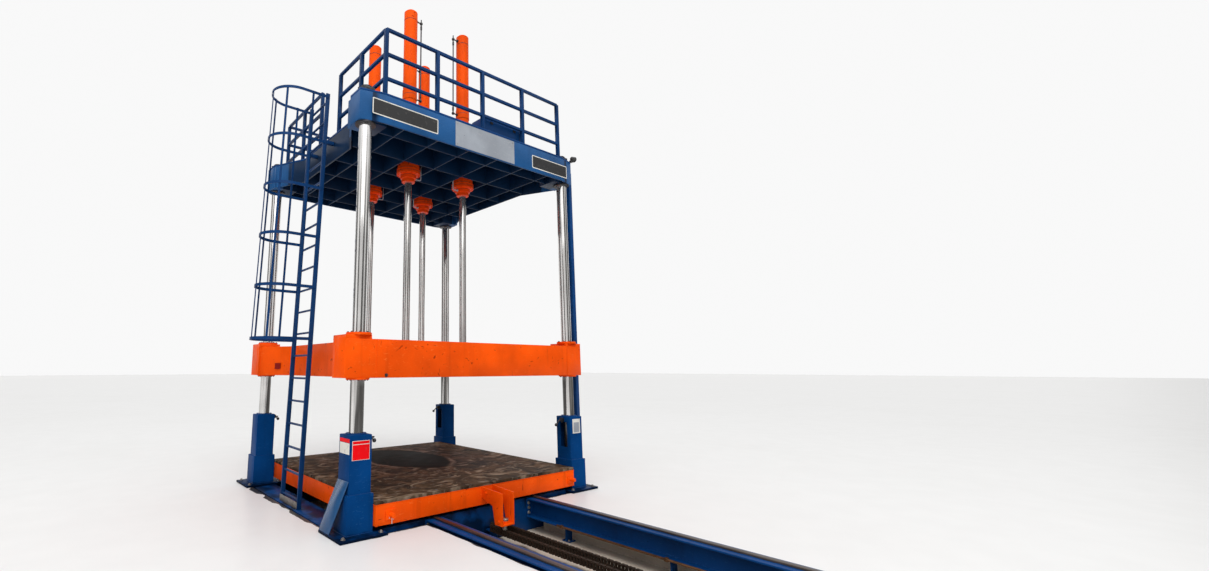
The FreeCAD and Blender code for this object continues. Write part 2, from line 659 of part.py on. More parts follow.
def chain_supports():
    """Idler bracket on the cross member, the two shafts and the closed drive housing."""
    named("idler_bracket", fused([
        block(spread("chain_x", "2 * bracket_half"), ("-idler_y - bracket_half", "-cross_reach"),
              (f"{BRACKET_TOP} - bracket_thick", BRACKET_TOP)),
        block(spread("chain_x", "bracket_thick"), ("-idler_y", "-cross_reach"),
              ("flange_thick", f"{BRACKET_TOP} - bracket_thick")),
    ]))
    named("wheel_shafts", group([
        prism(6, "shaft_radius", f"chain_z + shaft_spare - ({BRACKET_TOP})",
              "chain_x", "-idler_y", BRACKET_TOP),
        prism(6, "shaft_radius", "unit_lift - chain_z + shaft_spare",
              "chain_x", DRIVE_Y, "chain_z - shaft_spare"),
    ]))
    ys = spread(DRIVE_Y, "unit_length")
    unit = [block(spread("chain_x", "unit_width"), ys, ("unit_lift", "unit_lift + unit_height"))]
    for side in (-1, 1):
        middle = f"chain_x + {side} * (unit_width - unit_wall) / 2"
        unit.append(block(spread(middle, "unit_wall"), ys, ("0", "unit_lift")))
    named("drive_housing", fused(unit))


# ---------------------------------------------------------------- tow clevis
CLEVIS_X = "chain_x - chain_pitch / (2 * sin(180 / chain_teeth))"
CLEVIS_LOW = "pit_depth - clevis_drop"


def tow_clevis():
    """Two bent cheek plates on the table's front, joined at the foot, with a dog down to the chain."""
    top = "pit_depth + clevis_top"
    leg = "-clevis_reach + clevis_leg"
    knee = "pit_depth + clevis_knee"
    cheek = [("-table_front", top), ("-clevis_reach", f"{top} - clevis_thick"),
             ("-clevis_reach", CLEVIS_LOW), (leg, CLEVIS_LOW),
             (f"{leg} + clevis_leg / 3", f"{knee} - dog_side"), ("-table_front", knee)]
    pieces = []
    for side in (-1, 1):
        x = f"{CLEVIS_X} + {side} * clevis_gap / 2"
        pieces.append(slab("YZ_Plane", cheek, "clevis_thick", x=x, centred=True))
    pieces.append(block(spread(CLEVIS_X, "clevis_gap"), ("-clevis_reach", leg),
                        (CLEVIS_LOW, f"{CLEVIS_LOW} + clevis_thick")))
    named("tow_clevis", fused(pieces))
    named("tow_dog", square("dog_side", CLEVIS_X, "-clevis_reach + clevis_leg / 2",
                            (f"{CLEVIS_LOW} - dog_height + clevis_thick", CLEVIS_LOW)))


def table_lugs():
    """Lifting lugs that stand out of the table's front wall."""
    named("table_lugs", group([
        prism(8, "lug_radius", "lug_reach", x, "-table_front - lug_reach", "pit_depth + lug_level", "y")
        for x in ("-lug_left", "lug_right")]))


# ---------------------------------------------------------------- ladder and cage
def ladder_at(z):
    """The stiles' X at a height: the ladder leans in towards the crown."""
    return f"-ladder_x + ladder_lean * (({z}) - pit_depth) / lean_height"


def leaning(corners, zs):
    """An outline at a level, raised to another along the ladder's lean, with level ends."""
    low, top = zs
    body = slab("XY_Plane", corners, f"({top}) - ({low})", z=low)
    body.Tip.UseCustomVector = True
    body.Tip.AlongSketchNormal = True
    bind(body.Tip, "Direction.x", "ladder_lean / lean_height")
    bind(body.Tip, "Direction.y", "0")
    bind(body.Tip, "Direction.z", "1")
    return body


def stile_y(side):
    return f"ladder_y + {side} * (rung_length + stile_width) / 2"


def ladder():
    """Two stiles from the side beam up past the deck, and the rungs between them."""
    pieces = []
    depth = spread(ladder_at("pit_depth"), "stile_depth")
    for side in (-1, 1):
        near, far = spread(stile_y(side), "stile_width")
        pieces.append(leaning([(depth[0], near), (depth[1], near), (depth[1], far), (depth[0], far)],
                              ("pit_depth", "ladder_top")))
    for step in range(int(value("(ladder_top - pit_depth - rung_first) / rung_spacing")) + 1):
        z = f"pit_depth + rung_first + {step} * rung_spacing"
        across = spread("ladder_y", "rung_length + 2 * rung_bite")
        pieces.append(block(spread(ladder_at(z), "rung_side"), across, spread(z, "rung_side")))
    named("ladder", fused(pieces))


HOOPS = 6
HOOP_FACETS = 7
HOOP_INSIDE = "(rung_length / 2 + stile_width + seat_gap)"
HOOP_OUTSIDE = f"({HOOP_INSIDE} + hoop_thick)"
FACET_INSIDE = f"{HOOP_INSIDE} * cos(90 / {HOOP_FACETS})"


def round_back(z, turn, radius, aside="0"):
    """A point behind the ladder: out by a radius at an angle, and aside along the hoop."""
    middle = f"{ladder_at(z)} - (hoop_reach - {HOOP_OUTSIDE})"
    return (f"{middle} - ({radius}) * cos({turn}) + ({aside}) * sin({turn})",
            f"ladder_y + ({radius}) * sin({turn}) + ({aside}) * cos({turn})")


def hoop(z):
    """A flat bar bent in facets round the back, with a straight leg to each stile."""
    turns = [180 * step / HOOP_FACETS - 90 for step in range(HOOP_FACETS + 1)]
    rims = []
    for radius in (HOOP_OUTSIDE, HOOP_INSIDE):
        arc = [round_back(z, turn, radius) for turn in turns]
        rims.append([(ladder_at(z), arc[0][1])] + arc + [(ladder_at(z), arc[-1][1])])
    return leaning(rims[0] + rims[1][::-1], spread(z, "hoop_width"))


def cage_bar(turn, radius, aside, zs):
    """An upright flat bar that lies against the inside of the hoops."""
    edges = (f"{aside} - cage_bar / 2", f"{aside} + cage_bar / 2")
    outer = [round_back(zs[0], turn, radius, edge) for edge in edges]
    inner = [round_back(zs[0], turn, f"{radius} - hoop_thick", edge) for edge in edges]
    return leaning(outer + inner[::-1], zs)


def ladder_cage():
    """Hoops from above head height to the deck, tied by an upright on each leg and three at the back."""
    pitch = f"(ladder_top - cage_drop - cage_floor) / {HOOPS - 1}"
    pieces = [hoop(f"cage_floor + {step} * {pitch}") for step in range(HOOPS)]
    zs = ("cage_floor - hoop_width / 2", "ladder_top - cage_drop + hoop_width / 2")
    for facet in (-2, 0, 2):
        pieces.append(cage_bar(180 * facet / HOOP_FACETS, FACET_INSIDE, "0", zs))
    for side in (-1, 1):
        pieces.append(cage_bar(90 * side, HOOP_INSIDE, f"{side} * {HOOP_INSIDE} / 2", zs))
    named("ladder_cage", fused(pieces))


def ladder_brackets():
    """Short bars from the stiles to the crown's side wall."""
    level = "crown_floor + bracket_level"
    start = f"{ladder_at(level + ' + bracket_side / 2')} + stile_depth / 2"
    named("ladder_brackets", group([
        block((start, "-waist_x"), spread(stile_y(side), "bracket_side"), spread(level, "bracket_side"))
        for side in (-1, 1)]))


# ---------------------------------------------------------------- services
def hose_duct():
    """Square duct from the crown down to the front right post, with a strap at each end."""
    lower = "duct_floor + duct_strap / 2"
    upper = "crown_floor + duct_top - duct_strap"
    named("hose_duct", fused([
        square("duct_side", "duct_x", "-duct_y", ("duct_floor", "crown_floor + duct_top")),
        block(("crown_half_x", "duct_x"), spread("-duct_y", "duct_strap / 2"),
              spread(upper, "duct_strap")),
        block(("column_x + post_side / 2", "duct_x"), spread("-duct_y", "duct_strap / 2"),
              spread(lower, "duct_strap")),
    ]))


def cylinder_pipes():
    """Pipe beside each barrel, with a square fitting to the barrel at each end."""
    pipes = []
    for _, x, y, x_sign, _ in four_corners("cylinder_x", "cylinder_y"):
        top = "barrel_top - port_drop"
        spot = f"{x} - {x_sign} * pipe_offset"
        fitting = mirrored(x_sign, "cylinder_x - pipe_offset - port_side / 2",
                           "cylinder_x - barrel_radius - seat_gap")
        pieces = [prism(6, "thin_pipe", f"{top} - pipe_floor", spot, y, "pipe_floor")]
        for z in (top, "pipe_floor"):
            pieces.append(block(fitting, spread(y, "port_side"), spread(z, "port_side")))
        pipes.append(fused(pieces))
    named("cylinder_pipes", group(pipes))


def deck_box():
    front = "-railing_y + box_gap"
    named("deck_box", block(("box_x", "box_x + box_length"), (front, f"{front} + box_depth"),
                            ("crown_top", "crown_top + box_height")))


def limit_switches():
    """A switch with its arm on the inner face of each post."""
    face = "column_x - post_side / 2"
    body_top = f"{POST_TOP} - switch_drop"
    switches = []
    for _, _, y, x_sign, _ in four_corners("column_x", "column_y"):
        body = block(mirrored(x_sign, f"{face} - switch_side", face), spread(y, "switch_depth"),
                     (f"{body_top} - switch_side", body_top))
        arm = block(mirrored(x_sign, f"{face} - switch_side - switch_arm", f"{face} - switch_side"),
                    spread(y, "arm_side"), spread(f"{body_top} - switch_side / 2", "arm_side"))
        switches.append(fused([body, arm]))
    named("limit_switches", group(switches))


def leaning_cover():
    """Skewed cover plate that stands on the base plate and leans on the front left post."""
    near = "-column_y + cover_inset"
    plate = slab("YZ_Plane", [(near, "0"), (f"{near} + cover_width", "0"),
                              (f"{near} + cover_width - cover_skew", "cover_length"),
                              (f"{near} - cover_skew", "cover_length")], "cover_thick")
    plate.Placement = FreeCAD.Placement(Vector(), Rotation(Vector(0, 1, 0), value("cover_tilt")))
    x = ("-column_x - post_side / 2 - seat_gap - cover_thick * cos(cover_tilt)"
         " - cover_length * sin(cover_tilt)")
    place(plate, x, "0", f"{POST_FLOOR} + cover_thick * sin(cover_tilt)")
    named("leaning_cover", plate)


# ---------------------------------------------------------------- build everything
base_frame()
for name, x, y, x_sign, y_sign in four_corners("column_x", "column_y"):
    post(name, x, y, x_sign)
    column(name, x, y)
crown_frame()
crown_deck()
column_nuts()
cylinders()
platen()
platen_rings()
railings()
rails()
service_pipe()
chain()
chain_supports()
ladder()
ladder_cage()
ladder_brackets()
hose_duct()
cylinder_pipes()
deck_box()
limit_switches()
leaning_cover()
table()
tow_clevis()
table_lugs()
bearings()
for end, sign in ENDS:
    wheelset(end, f"{sign} * wheel_base - wheel_middle")

doc.recompute()
for item in doc.Objects:
    if "Invalid" in item.State or "Error" in item.State:
        raise RuntimeError(f"{item.Label} did not build: {item.State}")
for item in SUB_PARTS:
    if item.Shape.isNull() or not item.Shape.isValid():
        raise RuntimeError(f"{item.Label} has no valid shape")
os.makedirs("parts", exist_ok=True)
for item in SUB_PARTS:
    item.Shape.exportStep(f"parts/{item.Label}.step")
    print(item.Label, len(item.Shape.Solids), round(item.Shape.Volume / 1e6, 2))
print(len(SUB_PARTS), "sub-parts")
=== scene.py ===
import json
import math
import random

import bpy
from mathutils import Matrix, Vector

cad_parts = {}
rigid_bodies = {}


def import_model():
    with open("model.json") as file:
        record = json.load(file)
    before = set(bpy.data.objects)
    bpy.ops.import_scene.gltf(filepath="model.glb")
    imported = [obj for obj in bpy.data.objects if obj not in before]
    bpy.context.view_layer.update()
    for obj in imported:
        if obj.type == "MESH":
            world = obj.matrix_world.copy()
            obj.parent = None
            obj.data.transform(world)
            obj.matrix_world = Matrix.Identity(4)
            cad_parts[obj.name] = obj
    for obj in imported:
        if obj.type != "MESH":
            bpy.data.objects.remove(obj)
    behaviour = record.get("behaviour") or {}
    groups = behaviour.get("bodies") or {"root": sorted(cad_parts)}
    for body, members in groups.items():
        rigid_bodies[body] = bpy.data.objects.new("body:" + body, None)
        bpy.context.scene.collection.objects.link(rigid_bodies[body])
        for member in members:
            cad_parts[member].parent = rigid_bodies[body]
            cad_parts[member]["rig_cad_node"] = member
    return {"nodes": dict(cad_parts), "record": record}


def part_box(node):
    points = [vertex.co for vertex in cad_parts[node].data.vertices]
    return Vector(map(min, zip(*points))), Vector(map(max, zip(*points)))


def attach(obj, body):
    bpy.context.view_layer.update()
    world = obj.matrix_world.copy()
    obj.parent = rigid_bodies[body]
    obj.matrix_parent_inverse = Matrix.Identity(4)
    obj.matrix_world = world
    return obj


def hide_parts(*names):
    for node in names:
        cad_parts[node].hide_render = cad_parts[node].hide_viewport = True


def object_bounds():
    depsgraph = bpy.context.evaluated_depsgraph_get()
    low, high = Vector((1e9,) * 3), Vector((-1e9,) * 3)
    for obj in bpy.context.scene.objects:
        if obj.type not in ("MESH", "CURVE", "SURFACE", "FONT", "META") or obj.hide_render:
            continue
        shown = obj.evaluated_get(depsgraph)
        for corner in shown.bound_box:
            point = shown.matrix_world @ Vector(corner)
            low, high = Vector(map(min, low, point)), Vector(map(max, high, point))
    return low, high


# Looks of a four-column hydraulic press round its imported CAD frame.  Metres; +Z up; X runs
# along the press's front and the table rolls out towards -Y.  The hall's floor is FLOOR high.

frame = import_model()
CAD_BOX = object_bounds()
NODES = frame["nodes"]
dice = random.Random(7)

SIDES = {"left": -1, "right": 1}
ENDS = {"front": -1, "rear": 1}
CORNERS = [(f"{end}_{side}", x, y) for end, y in ENDS.items() for side, x in SIDES.items()]


def centre(node):
    low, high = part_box(node)
    return (low + high) / 2


def radius_of(node):
    return centre(node).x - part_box(node)[0].x


COLUMN = {name: centre(f"column_{name}") for name, _, _ in CORNERS}
BARREL = {name: centre(f"cylinder_barrel_{name}") for name, _, _ in CORNERS}
COLUMN_RADIUS = radius_of("column_front_left")
BARREL_RADIUS = radius_of("cylinder_barrel_front_left")
ROD_RADIUS = radius_of("piston_rod_front_left")
CROWN_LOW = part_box("crown_frame")[0]
DECK_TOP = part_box("crown_deck")[1].z
PLATEN_LOW, PLATEN_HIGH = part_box("platen")
TABLE_LOW, TABLE_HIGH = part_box("table_frame")
BASE_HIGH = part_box("base_frame")[1]
POST_LOW, POST_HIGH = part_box("post_front_left")
FLOOR = POST_LOW.z
POST_HALF = 0.133  # half the width of a post's upper tube
SLEEVE_HALF = 0.157  # and of its sleeve
BASE_PLATE = 0.03
SLEEVE_TALL = 0.43


def at(spot, z=0.0):
    """The place over a spot at a height."""
    return Vector((spot.x, spot.y, z))


def heading(angle):
    return Vector((math.cos(angle), math.sin(angle), 0))


def around(spot, z, radius, count):
    """Places set evenly round a level circle."""
    return [at(spot, z) + heading(2 * math.pi * (step + 0.5) / count) * radius
            for step in range(count)]


def square(spot, reach, z):
    """The four corners of a level square round a spot."""
    return [Vector((spot.x + x, spot.y + y, z)) for x in (-reach, reach) for y in (-reach, reach)]


# ---- meshes
# For each axis of a turned solid: where its angle starts, where it goes, and the axis itself.
TURNED = {"Z": ((1, 0, 0), (0, 1, 0), (0, 0, 1)), "X": ((0, 0, -1), (0, 1, 0), (1, 0, 0)),
          "Y": ((1, 0, 0), (0, 0, -1), (0, 1, 0))}
RIPPLE = 0.02  # length of one ripple of a weld bead


class Shape:
    """Gathers simple solids into one mesh."""

    def __init__(self):
        self.verts = []
        self.faces = []

    def add(self, verts, faces):
        start = len(self.verts)
        self.verts += [Vector(v) for v in verts]
        self.faces += [[start + i for i in face] for face in faces]

    def box(self, corner, opposite):
        """A box between any two opposite corners."""
        xs, ys, zs = (sorted(pair) for pair in zip(corner, opposite))
        self.add([(x, y, z) for x in xs for y in ys for z in zs],
                 [(0, 1, 3, 2), (4, 6, 7, 5), (0, 4, 5, 1), (2, 3, 7, 6), (0, 2, 6, 4),
                  (1, 5, 7, 3)])

    def block(self, middle, size):
        half = Vector(size) / 2
        self.box(Vector(middle) - half, Vector(middle) + half)

    def extrude(self, outline, direction):
        """A flat closed outline of 3-D points, thickened along a vector."""
        start = len(self.verts)
        low = [Vector(spot) for spot in outline]
        self.verts += low + [spot + Vector(direction) for spot in low]
        self.skin(start, len(low))

    def skin(self, start, segments, ends="capped"):
        """Faces between the rings of points since a start; the ends are capped, open or joined."""
        rows = (len(self.verts) - start) // segments
        for row in range(rows if ends == "joined" else rows - 1):
            low = start + row * segments
            high = start + (row + 1) % rows * segments
            for step in range(segments):
                after = (step + 1) % segments
                self.faces.append([low + step, low + after, high + after, high + step])
        if ends == "capped":
            self.faces.append(list(range(start, start + segments))[::-1])
            self.faces.append(list(range(len(self.verts) - segments, len(self.verts))))

    def lathe(self, profile, middle, axis="Z", segments=48, closed=False):
        """Turns (radius, height) corners about an axis through a point."""
        side, other, along = (Vector(line) for line in TURNED[axis])
        start = len(self.verts)
        for radius, height in profile:
            self.hoop(Vector(middle) + along * height, side, other, radius, segments)
        self.skin(start, segments, "joined" if closed else "capped")

    def ring(self, spot, inner, outer, low, high, above=0.0, below=0.0, segments=48):
        """A turned ring between two heights, its outer edge chamfered above or below."""
        profile = [(inner, low), (outer - below, low)]
        if below:
            profile.append((outer, low + below))
        if above:
            profile.append((outer, high - above))
        self.lathe(profile + [(outer - above, high), (inner, high)], at(spot), "Z", segments, True)

    def rod(self, start, end, radius, segments=16):
        """A round bar between two points."""
        self.sweep([start, end], radius, segments)

    def sweep(self, path, radius, segments=12):
        """A round tube along a path, square to it at both ends."""
        path = [Vector(spot) for spot in path]
        start = len(self.verts)
        side = None
        for index, spot in enumerate(path):
            before = path[max(index - 1, 0)]
            after = path[min(index + 1, len(path) - 1)]
            ahead = (after - before).normalized()
            if side is None:
                side = ahead.orthogonal().normalized()
            side = (side - ahead * side.dot(ahead)).normalized()
            self.hoop(spot, side, ahead.cross(side), radius, segments)
        self.skin(start, segments)

    def hoop(self, spot, side, other, radius, segments):
        """A ring of points round a spot, in the plane of two directions."""
        for step in range(segments):
            angle = 2 * math.pi * step / segments
            self.verts.append(spot + (side * math.cos(angle) + other * math.sin(angle)) * radius)

    def weld(self, start, end, radius=0.006):
        """A rippled bead along a line."""
        start = Vector(start)
        along = Vector(end) - start
        steps = max(int(along.length / RIPPLE), 2)
        side = along.orthogonal().normalized()
        other = along.normalized().cross(side)
        first = len(self.verts)
        for step in range(steps + 1):
            swell = radius * (1.0 if step % 2 else 0.78)
            self.hoop(start + along * step / steps, side, other, swell, 6)
        self.skin(first, 6, "open")

    def weld_square(self, spot, half, level):
        """A bead round a square tube where it stands on a plate."""
        a, b, c, d = square(spot, half, level)
        for start, end in ((a, c), (c, d), (d, b), (b, a)):
            self.weld(start, end)

    def bolt(self, middle, radius, axis="Z", sign=1, turn=0.3):
        """Washer, hexagon head and a stub of thread standing on a face, out along the axis."""
        layers = ((1.35, 0, 0.22, 20), (1, 0.22, 0.95, 6), (0.52, 0.95, 1.25, 12))
        for reach, low, high, sides in layers:
            start = len(self.verts)
            for level in (low, high):
                along = sign * level * radius
                for step in range(sides):
                    angle = turn + 2 * math.pi * step / sides
                    x = reach * radius * math.cos(angle)
                    y = reach * radius * math.sin(angle)
                    spot = {"Z": (x, y, along), "Y": (x, along, y), "X": (along, x, y)}[axis]
                    self.verts.append(Vector(middle) + Vector(spot))
            self.skin(start, sides)

    def bolts(self, places, radius, sign=1):
        for place in places:
            self.bolt(place, radius, sign=sign)

    def build(self, name, look, bevel=0.0, body="frame"):
        mesh = bpy.data.meshes.new(name)
        mesh.from_pydata(self.verts, [], self.faces)
        mesh.validate()
        piece = bpy.data.objects.new(name, mesh)
        bpy.context.scene.collection.objects.link(piece)
        dress(piece, look, bevel)
        if body:
            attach(piece, body)
        return piece


SHARP = math.radians(35)


def dress(piece, look, bevel):
    """Material, rounded edges, and smooth shading that keeps the sharp edges."""
    mesh = piece.data
    mesh.materials.clear()
    mesh.materials.append(look.material)
    mesh.shade_smooth()
    if "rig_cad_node" in piece:
        piece.modifiers.new("weld", "WELD").merge_threshold = 0.00005
    if bevel:
        edge = piece.modifiers.new("edges", "BEVEL")
        edge.width = bevel
        edge.segments = 2
        edge.limit_method = "ANGLE"
        edge.angle_limit = SHARP
        edge.harden_normals = True
    else:
        piece.modifiers.new("sharp", "EDGE_SPLIT").split_angle = SHARP


def bend(path, reach):
    """Rounds the inner corners of a path of points."""
    path = [Vector(spot) for spot in path]
    smooth = [path[0]]
    for before, corner, after in zip(path, path[1:], path[2:]):
        into = corner + (before - corner).normalized() * reach
        out = corner + (after - corner).normalized() * reach
        for t in (0, 0.2, 0.4, 0.6, 0.8, 1):
            smooth.append(into * (1 - t) ** 2 + corner * 2 * t * (1 - t) + out * t ** 2)
    return smooth + [path[-1]]


# ---- materials
class Nodes:
    """A node tree built step by step over one kind of coordinates."""

    def __init__(self, tree, coordinates):
        self.tree = tree
        self.spots = self.new("TexCoord", {}).outputs[coordinates]

    def put(self, item, slot):
        """A link or a plain value at an input."""
        if isinstance(item, bpy.types.NodeSocket):
            self.tree.links.new(item, slot)
        else:
            slot.default_value = item

    def new(self, kind, inputs, **settings):
        node = self.tree.nodes.new(f"ShaderNode{kind}")
        for key, setting in settings.items():
            setattr(node, key, setting)
        for key, item in inputs.items():
            self.put(item, node.inputs[key])
        return node

    def maths(self, operation, *items):
        return self.new("Math", dict(enumerate(items)), operation=operation).outputs[0]

    def times(self, first, second):
        return self.maths("MULTIPLY", first, second)

    def part(self, axis):
        """One coordinate of the place."""
        return self.new("SeparateXYZ", {"Vector": self.spots}).outputs[axis]

    def band(self, value, low, high, strength=1.0):
        """Maps a value to a mask that rises from 0 at low to the strength at high."""
        scale = {"Value": value, "From Min": low, "From Max": high, "To Max": strength}
        return self.new("MapRange", scale).outputs["Result"]

    def mix(self, mask, under, over):
        inputs = {"Factor": mask, "A": under, "B": over}
        return self.new("Mix", inputs, data_type="RGBA").outputs["Result"]

    def ramp(self, value, stops):
        """A colour for each (place, colour) along a value, blended in between."""
        node = self.new("ValToRGB", {"Fac": value})
        elements = node.color_ramp.elements
        while len(elements) < len(stops):
            elements.new(0.5)
        for element, (place, colour) in zip(elements, stops):
            element.position = place
            element.color = (*colour, 1)
        return node.outputs["Color"]


class Look(Nodes):
    """A procedural material over the object's own coordinates."""

    def __init__(self, name, slot, colour, metallic=0.0, shine=0.5, spread=0.13):
        self.material = bpy.data.materials.new(name)
        self.material.use_nodes = True
        super().__init__(self.material.node_tree, "Object")
        self.shader = self.tree.nodes["Principled BSDF"]
        self.put(metallic, self.shader.inputs["Metallic"])
        self.put(shine, self.shader.inputs["Specular IOR Level"])
        self.slot = slot
        light = [min(channel, 1) for channel in faded(colour, 1 + spread)]
        stops = ((0.35, faded(colour, 1 - spread)), (0.68, light))
        self.colour = self.ramp(self.noise(2.3, 3), stops)
        self.bump = None

    def noise(self, scale, detail=4, stretch=(1, 1, 1), distortion=0.0, offset=0.0):
        mapping = self.new("Mapping", {"Vector": self.spots, "Scale": stretch,
                                       "Location": (offset, offset, offset)})
        return self.new("TexNoise", {"Vector": mapping.outputs["Vector"], "Scale": scale,
                                     "Detail": detail, "Distortion": distortion}).outputs["Fac"]

    def stain(self, mask, colour):
        """Lays a colour over what is there, where the mask is."""
        self.colour = self.mix(mask, self.colour, (*colour, 1))

    def rough(self, mask, low, high):
        scale = self.new("MapRange", {"Value": mask, "To Min": low, "To Max": high})
        self.put(scale.outputs["Result"], self.shader.inputs["Roughness"])

    def dent(self, height, distance, strength):
        """Adds a relief; each call stands on the one before."""
        inputs = {"Distance": distance, "Strength": strength, "Height": height}
        if self.bump:
            inputs["Normal"] = self.bump
        self.bump = self.new("Bump", inputs).outputs["Normal"]

    def done(self):
        self.put(self.colour, self.shader.inputs["Base Color"])
        if self.bump:
            self.put(self.bump, self.shader.inputs["Normal"])
        return self


def faded(colour, share):
    return [channel * share for channel in colour]


def paint(name, slot, colour, grime_and_shade, wear, roughness=(0.3, 0.5), soil=None, shine=0.12):
    """Sprayed machine paint: clouding, run-down streaks of dirt, scuffs, small chips, and a dark
    stain at a place each look chooses: dirt on some, painted shade on others.
    """
    look = Look(name, slot, colour, shine=shine)
    clouds = look.noise(1.1, 6, offset=3)
    look.stain(look.band(clouds, 0.5, 0.75, 0.35), grime_and_shade)
    look.stain(look.band(look.noise(9, 5, (1, 1, 0.07)), 0.58, 0.78, 0.3), grime_and_shade)
    look.stain(look.band(look.noise(16, 8, (1, 1, 3), 1.6, 5), 0.62, 0.7, 0.35), wear)
    look.stain(look.band(look.noise(38, 3, offset=9), 0.735, 0.75, 0.9), faded(grime_and_shade, 0.25))
    # Where the look's mask lies, a faded dark tone: dirt on some looks, painted shade on the
    # crown's underside and on the base in the pit.
    if soil:
        look.stain(soil(look), faded(grime_and_shade, 0.4))
    look.rough(clouds, *roughness)
    look.dent(look.noise(160, 2), 0.0006, 0.25)
    look.dent(look.noise(3, 3), 0.004, 0.12)
    return look.done()


def crown_underside_shade(look):
    """Painted shade on the crown's unlit underside: darkens what lies inside its outer walls."""
    inside = [look.band(look.maths("ABSOLUTE", look.part(axis)), reach, reach - 0.012)
              for axis, reach in (("X", 1.79), ("Y", 1.77))]
    low = look.band(look.part("Z"), DECK_TOP - 0.02, DECK_TOP - 0.03)
    return look.times(look.times(look.times(*inside), low), 0.8)


def handled(look):
    """Dark rubbed-in smudges, drips and scrapes along the orange faces."""
    smudges = look.band(look.noise(5.5, 9, (1, 1, 1.6), 2.2, 12), 0.66, 0.72, 0.75)
    drips = look.band(look.noise(30, 3, (1, 1, 0.12), 0.4, 15), 0.7, 0.74, 0.6)
    return look.maths("MAXIMUM", smudges, drips)


def on_the_floor(look):
    """Oil and dust on the posts' base plates and up the lowest hand's breadth of the sleeves."""
    ragged = look.maths("ADD", look.part("Z"), look.times(look.noise(9, 4), 0.05))
    return look.band(ragged, FLOOR + 0.075, FLOOR + 0.05, 0.92)


def pit_shade_patches(look):
    """Painted shade of the pit: ragged black patches on the base's members."""
    return look.band(look.noise(3.5, 7, offset=7), 0.44, 0.56, 0.8)


def metal(name, slot, colour, roughness, grime_and_shade, streak=(1, 1, 1), relief=0.2, oil_and_reflection_tone=None):
    """Bare or plated metal; the last argument is the tone of the oil that runs down the columns and
    rods, and of dark vertical bands painted on their lower part as reflections.
    """
    look = Look(name, slot, colour, metallic=0.88 if oil_and_reflection_tone else 1.0)
    if oil_and_reflection_tone:
        look.stain(look.band(look.noise(7.5, 2, (1, 1, 0.02), offset=11), 0.5, 0.6, 0.45), oil_and_reflection_tone)
        # Painted reflection: below the platen, dark vertical bands on the chrome stand for mirrored
        # dark surroundings.
        below_platen = look.band(look.part("Z"), PLATEN_LOW.z + 0.3, PLATEN_LOW.z - 0.1)
        reflection_stripes = look.band(look.noise(11, 2, (1, 1, 0.02), offset=17), 0.46, 0.5, 0.95)
        look.stain(look.times(below_platen, reflection_stripes), faded(oil_and_reflection_tone, 0.3))
    # Long dark streaks: grime, and on the chrome also painted reflection bands.
    look.stain(look.band(look.noise(14, 6, streak), 0.52, 0.72, 0.5), grime_and_shade)
    look.rough(look.noise(22, 4, streak, offset=4), *roughness)
    look.dent(look.noise(90, 3, streak), 0.0004, relief)
    return look.done()


def plastic(name, slot, colour, shine=0.5):
    look = Look(name, slot, colour, shine=shine)
    look.stain(look.band(look.noise(20, 5), 0.6, 0.75, 0.4), (0.12, 0.11, 0.1))
    look.rough(look.noise(30, 3, offset=2), 0.35, 0.55)
    look.dent(look.noise(220, 2), 0.0003, 0.2)
    return look.done()


# The worn round on the table: its middle, and its half width and half depth.
WORN = (("X", 0.08, 0.585), ("Y", 0.36, 0.96525))


def work_plate():
    """Oiled dark steel with brown swirls, pale wiping marks and a dark worn round."""
    look = Look("work_plate", "dark_steel", (0.05, 0.031, 0.018), shine=0.02)
    swirl = look.noise(1.1, 9, distortion=2.4)
    look.stain(look.band(swirl, 0.42, 0.66, 0.8), (0.14, 0.085, 0.05))
    oily = look.noise(1.9, 8, (1.5, 0.8, 1), 3.2, 8)
    look.stain(look.band(oily, 0.46, 0.64, 0.9), (0.02, 0.014, 0.011))
    wiped = look.noise(1.7, 9, (1, 1.8, 1), 3.0, 6)
    look.stain(look.band(wiped, 0.53, 0.72, 0.9), (0.31, 0.235, 0.165))
    drag = look.noise(4.2, 8, (1, 1.5, 1), 2.4, 20)
    look.stain(look.band(drag, 0.58, 0.7, 0.35), (0.3, 0.25, 0.2))
    away = [look.maths("DIVIDE", look.maths("SUBTRACT", look.part(axis), place), reach)
            for axis, place, reach in WORN]
    off = look.maths("SQRT", look.maths("ADD", *[look.times(item, item) for item in away]))
    ragged = look.maths("ADD", off, look.times(look.noise(2.6, 7, offset=2), 0.36))
    look.stain(look.band(ragged, 1.24, 1.13, 0.95), (0.006, 0.004, 0.0025))
    rim = look.band(look.maths("ABSOLUTE", look.maths("SUBTRACT", ragged, 1.25)), 0.08, 0.0, 0.65)
    broken = look.band(look.noise(1.6, 4, offset=5), 0.4, 0.56)
    look.stain(look.times(rim, broken), (0.32, 0.26, 0.2))
    look.rough(swirl, 0.5, 0.8)
    look.dent(look.noise(45, 5), 0.001, 0.3)
    look.dent(look.band(ragged, 1.14, 1.26), 0.004, 0.4)
    return look.done()


NAVY = (0.0015, 0.042, 0.165)
# Dark tone of grime on the blue paint; faded, it is also the painted shade on the crown's underside
# and on the base in the pit.
SOOT_AND_SHADE = (0.002, 0.009, 0.03)
RUBBED = (0.03, 0.11, 0.27)


def blue(name, colour=NAVY, wear=RUBBED, **more):
    return paint(name, "blue_paint", colour, SOOT_AND_SHADE, wear, **more)


BLUE = blue("blue_paint")
# The crown's paint: a lighter copy of the navy, painted light for its lit front, with painted shade
# on its underside.
CROWN_LIT_AND_SHADED_BLUE = blue("crown_blue_lit_and_shaded", (0.014, 0.085, 0.24), (0.05, 0.15, 0.33), soil=crown_underside_shade)
POST_BLUE = blue("post_blue", soil=on_the_floor, shine=0.02)
